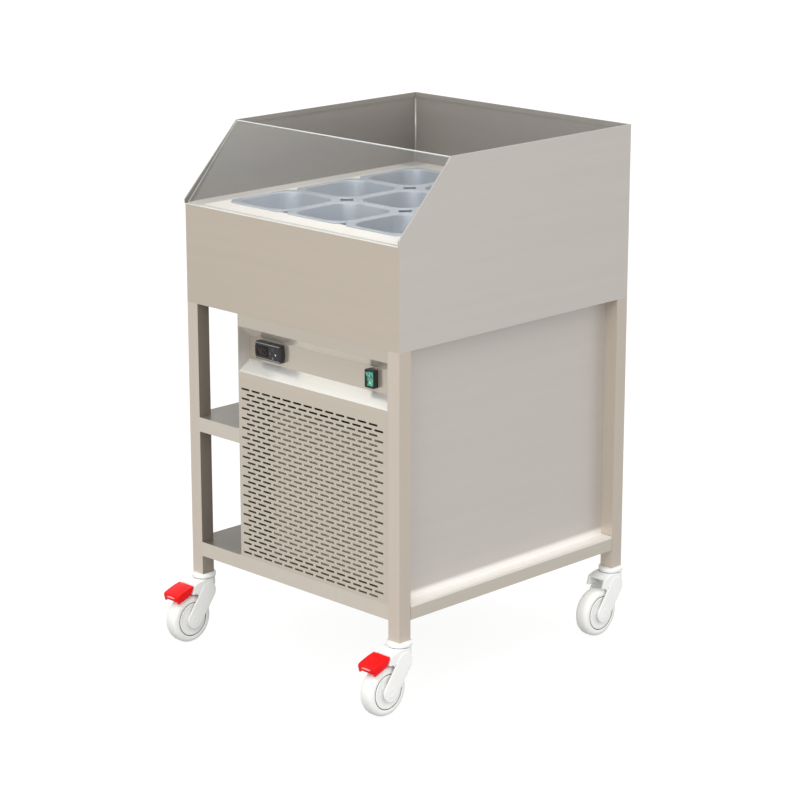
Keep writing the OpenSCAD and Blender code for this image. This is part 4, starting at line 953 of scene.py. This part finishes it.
def makeSwitch():
    form = switchForm
    low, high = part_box("switch_frame")
    centre = (low + high) / 2
    w, h = (high.x - low.x) / mm, (high.z - low.z) / mm
    wall, tall = form["wall"], form["tall"]
    loops = []
    for inset, depth in ((0, 12), (0, 1.2), (0.35, 0.35), (1.2, 0), (wall - 0.5, 0.1), (wall, 0.7), (wall, form["depth"])):
        loop = roundedLoop(w - 2 * inset, h - 2 * inset, max(form["corner"] - inset, 0.6), 0, 5)
        loops.append([Vector((p.x, depth, p.y)) for p in loop])
    bezel = meshPiece("switchBezel", placed(skinLoops(loops), (centre.x, low.y, centre.z)), finishes["black_plastic"],
                      "frame")
    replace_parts(bezel, "switch_frame")

    tipped = Matrix.Rotation(math.radians(form["tilt"]), 4, "X")

    pivot = (centre.x, low.y + form["pivotDepth"] * mm, centre.z)

    def onRocker(name, made, finish, smooth=True):
        points, faces = made
        made = placed(([tipped @ p for p in points], faces), pivot)
        return meshPiece(name, made, finish, "rocker", smooth)

    # rocker: two facets with a soft valley, tilted as the CAD one
    heights = [-tall + 2 * tall * i / 12 for i in range(13)]
    face = [(form["front"] - form["dish"] * (abs(z) / tall) ** 1.5, z) for z in heights]
    half = (w - 2 * wall) / 2 - form["gap"]
    rocker = onRocker("rockerCap", slab(face + form["heel"], -half, half), finishes["rocker_green"])
    softened(rocker, 0.7)
    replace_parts(rocker, "switch_rocker")
    # a bar for on and a ring for off
    onRocker("rockerMarkOn", ([Vector((a, form["onFront"], b)) for a, b in form["onMark"]], [(0, 1, 2, 3)]), markWhite, False)
    rings = [point for radius in form["offRadii"] for point in arcPoints(form["offMark"], radius, 0, 330, 11)]
    faces = [(i, (i + 1) % 12, 12 + (i + 1) % 12, 12 + i) for i in range(12)]
    onRocker("rockerMarkOff", ([Vector((a, form["offFront"], b)) for a, b in rings], faces), markWhite, False)


makeController()
makeButtons()
makeSwitch()
print("controls made")

screwForm = {"radius": 3.4, "height": 1.6, "inset": 9}


def makeScrews():
    # dished pan heads round the edge of the unit's back panel
    r, h, inset = screwForm["radius"], screwForm["height"], screwForm["inset"] * mm
    profile = [(0, r), (h * 0.45, r * 0.96), (h * 0.85, r * 0.7), (h, r * 0.42), (h * 0.55, r * 0.30), (h * 0.5, 0.2)]
    head = turned(profile, 24, "y")
    low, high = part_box("unit_back_panel")
    middle = (low + high) / 2
    spots = [(x, high.y, z) for x in (low.x + inset, middle.x, high.x - inset)
             for z in (low.z + inset, middle.z, high.z - inset) if x != middle.x or z != middle.z]
    for index, spot in enumerate(spots):
        meshPiece("backScrew_%d" % index, placed(head, spot), finishes["axle_steel"], "frame")


weldForm = {"sheet": 1.5, "reach": 2.2, "endGap": 12}


def makeCornerWelds():
    # ground weld lines in the guard's two inside corners
    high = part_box("back_panel")[1]
    sheet, reach = weldForm["sheet"], weldForm["reach"]
    deckTop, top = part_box("deck")[1].z / mm, high.z / mm - weldForm["endGap"]
    curve = [(1 - math.sin(math.radians(turn)), math.cos(math.radians(turn)) - 1) for turn in (22, 45, 68)]
    for name, side in (("left", -1), ("right", 1)):
        x, y = side * (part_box("right_side_panel")[1].x / mm - sheet), high.y / mm - sheet
        outline = [(x, y), (x - side * reach, y)]
        outline += [(x - side * reach * a, y + reach * b) for a, b in curve] + [(x, y - reach)]
        weld = placed(slab(outline, deckTop, top, "z"))
        meshPiece("cornerWeld_" + name, weld, finishes["side_steel"], "frame")


makeScrews()
makeCornerWelds()
print("fastenings made")

studio = {"sky": 0.46, "skyLean": (0.22, -0.25, 1.05), "skyLeast": 0.06, "skyColour": (1, 0.99, 0.975, 1),
          "keyWay": (1.0, -2.1, 1.43), "keyReach": 4.2, "keySize": 1.5, "keyPower": 42,
          "fillPlace": (4.4, -0.4, 1.5), "fillSize": 2.4, "fillPower": 28, "aim": (0, 0, 0.5),
          "floorSize": 12, "floorDrop": 0.0005, "floorColour": (0.11, 0.11, 0.109),
          # glow of the floor for each kind of ray
          "floorGlow": {"Is Camera Ray": 0.90, "Is Glossy Ray": 0.77, "Is Transmission Ray": 0.90, "Is Diffuse Ray": 0.24}}


def worked(tree, value, amount, kind="ADD"):
    node = tree.nodes.new("ShaderNodeMath")
    node.operation = kind
    node.inputs[1].default_value = amount
    tree.links.new(value, node.inputs[0])
    return node.outputs[0]


def makeSky():
    world = bpy.data.worlds.new("studioSky")
    scene.world = world
    world.use_nodes = True
    tree = world.node_tree
    tree.nodes.clear()
    ray = tree.nodes.new("ShaderNodeLightPath")
    seen = added(tree, ray.outputs["Is Camera Ray"], ray.outputs["Is Glossy Ray"], "MAXIMUM")
    seen = added(tree, seen, ray.outputs["Is Transmission Ray"], "MAXIMUM")
    soft = tree.nodes.new("ShaderNodeBackground")
    soft.inputs["Color"].default_value = studio["skyColour"]
    # soft dome: brightest overhead and towards the front right
    where = tree.nodes.new("ShaderNodeTexCoord")
    lean = tree.nodes.new("ShaderNodeVectorMath")
    lean.operation = "DOT_PRODUCT"
    lean.inputs[1].default_value = studio["skyLean"]
    tree.links.new(where.outputs["Generated"], lean.inputs[0])
    level = worked(tree, lean.outputs["Value"], studio["sky"])
    tree.links.new(worked(tree, level, studio["skyLeast"], "MAXIMUM"), soft.inputs["Strength"])
    white = tree.nodes.new("ShaderNodeBackground")
    white.inputs["Color"].default_value = (1, 1, 1, 1)
    white.inputs["Strength"].default_value = 1.0
    either = tree.nodes.new("ShaderNodeMixShader")
    out = tree.nodes.new("ShaderNodeOutputWorld")
    tree.links.new(seen, either.inputs["Fac"])
    tree.links.new(soft.outputs[0], either.inputs[1])
    tree.links.new(white.outputs[0], either.inputs[2])
    tree.links.new(either.outputs[0], out.inputs["Surface"])


def softbox(name, place, size, power):
    lamp = bpy.data.lights.new(name, "AREA")
    lamp.shape = "SQUARE"
    lamp.size = size
    lamp.energy = power
    holder = bpy.data.objects.new(name, lamp)
    holder.location = place
    holder.rotation_euler = (Vector(studio["aim"]) - Vector(place)).to_track_quat("-Z", "Y").to_euler()
    scene.collection.objects.link(holder)


def makeFloor():
    # pale floor that reads white to the camera and in reflections, and still takes the shadow
    size = studio["floorSize"]
    mesh = bpy.data.meshes.new("studioFloor")
    mesh.from_pydata([(-size, -size, 0), (size, -size, 0), (size, size, 0), (-size, size, 0)], [], [(0, 1, 2, 3)])
    floor = bpy.data.objects.new("studioFloor", mesh)
    floor.location.z = -studio["floorDrop"]
    scene.collection.objects.link(floor)
    finish, tree, shader = newFinish("studioFloor")
    cloud = noiseAt(tree, rowPlace(tree, (3, 3, 3)), 3)
    tree.links.new(shaded(tree, studio["floorColour"], spread(tree, cloud, 0.99, 1.01)), shader.inputs["Base Color"])
    shader.inputs["Roughness"].default_value = 0.8
    shader.inputs["Emission Color"].default_value = (1, 1, 1, 1)
    ray = tree.nodes.new("ShaderNodeLightPath")
    lift = None
    for kind, glow in studio["floorGlow"].items():
        seen = worked(tree, ray.outputs[kind], glow, "MULTIPLY")
        lift = seen if lift is None else added(tree, lift, seen, "MAXIMUM")
    tree.links.new(lift, shader.inputs["Emission Strength"])
    mesh.materials.append(finish)


makeSky()
keyPlace = Vector(studio["keyWay"]).normalized() * studio["keyReach"] + Vector(studio["aim"])
softbox("fillBox", studio["fillPlace"], studio["fillSize"], studio["fillPower"])
softbox("keyBox", keyPlace, studio["keySize"], studio["keyPower"])
makeFloor()
print("studio made")
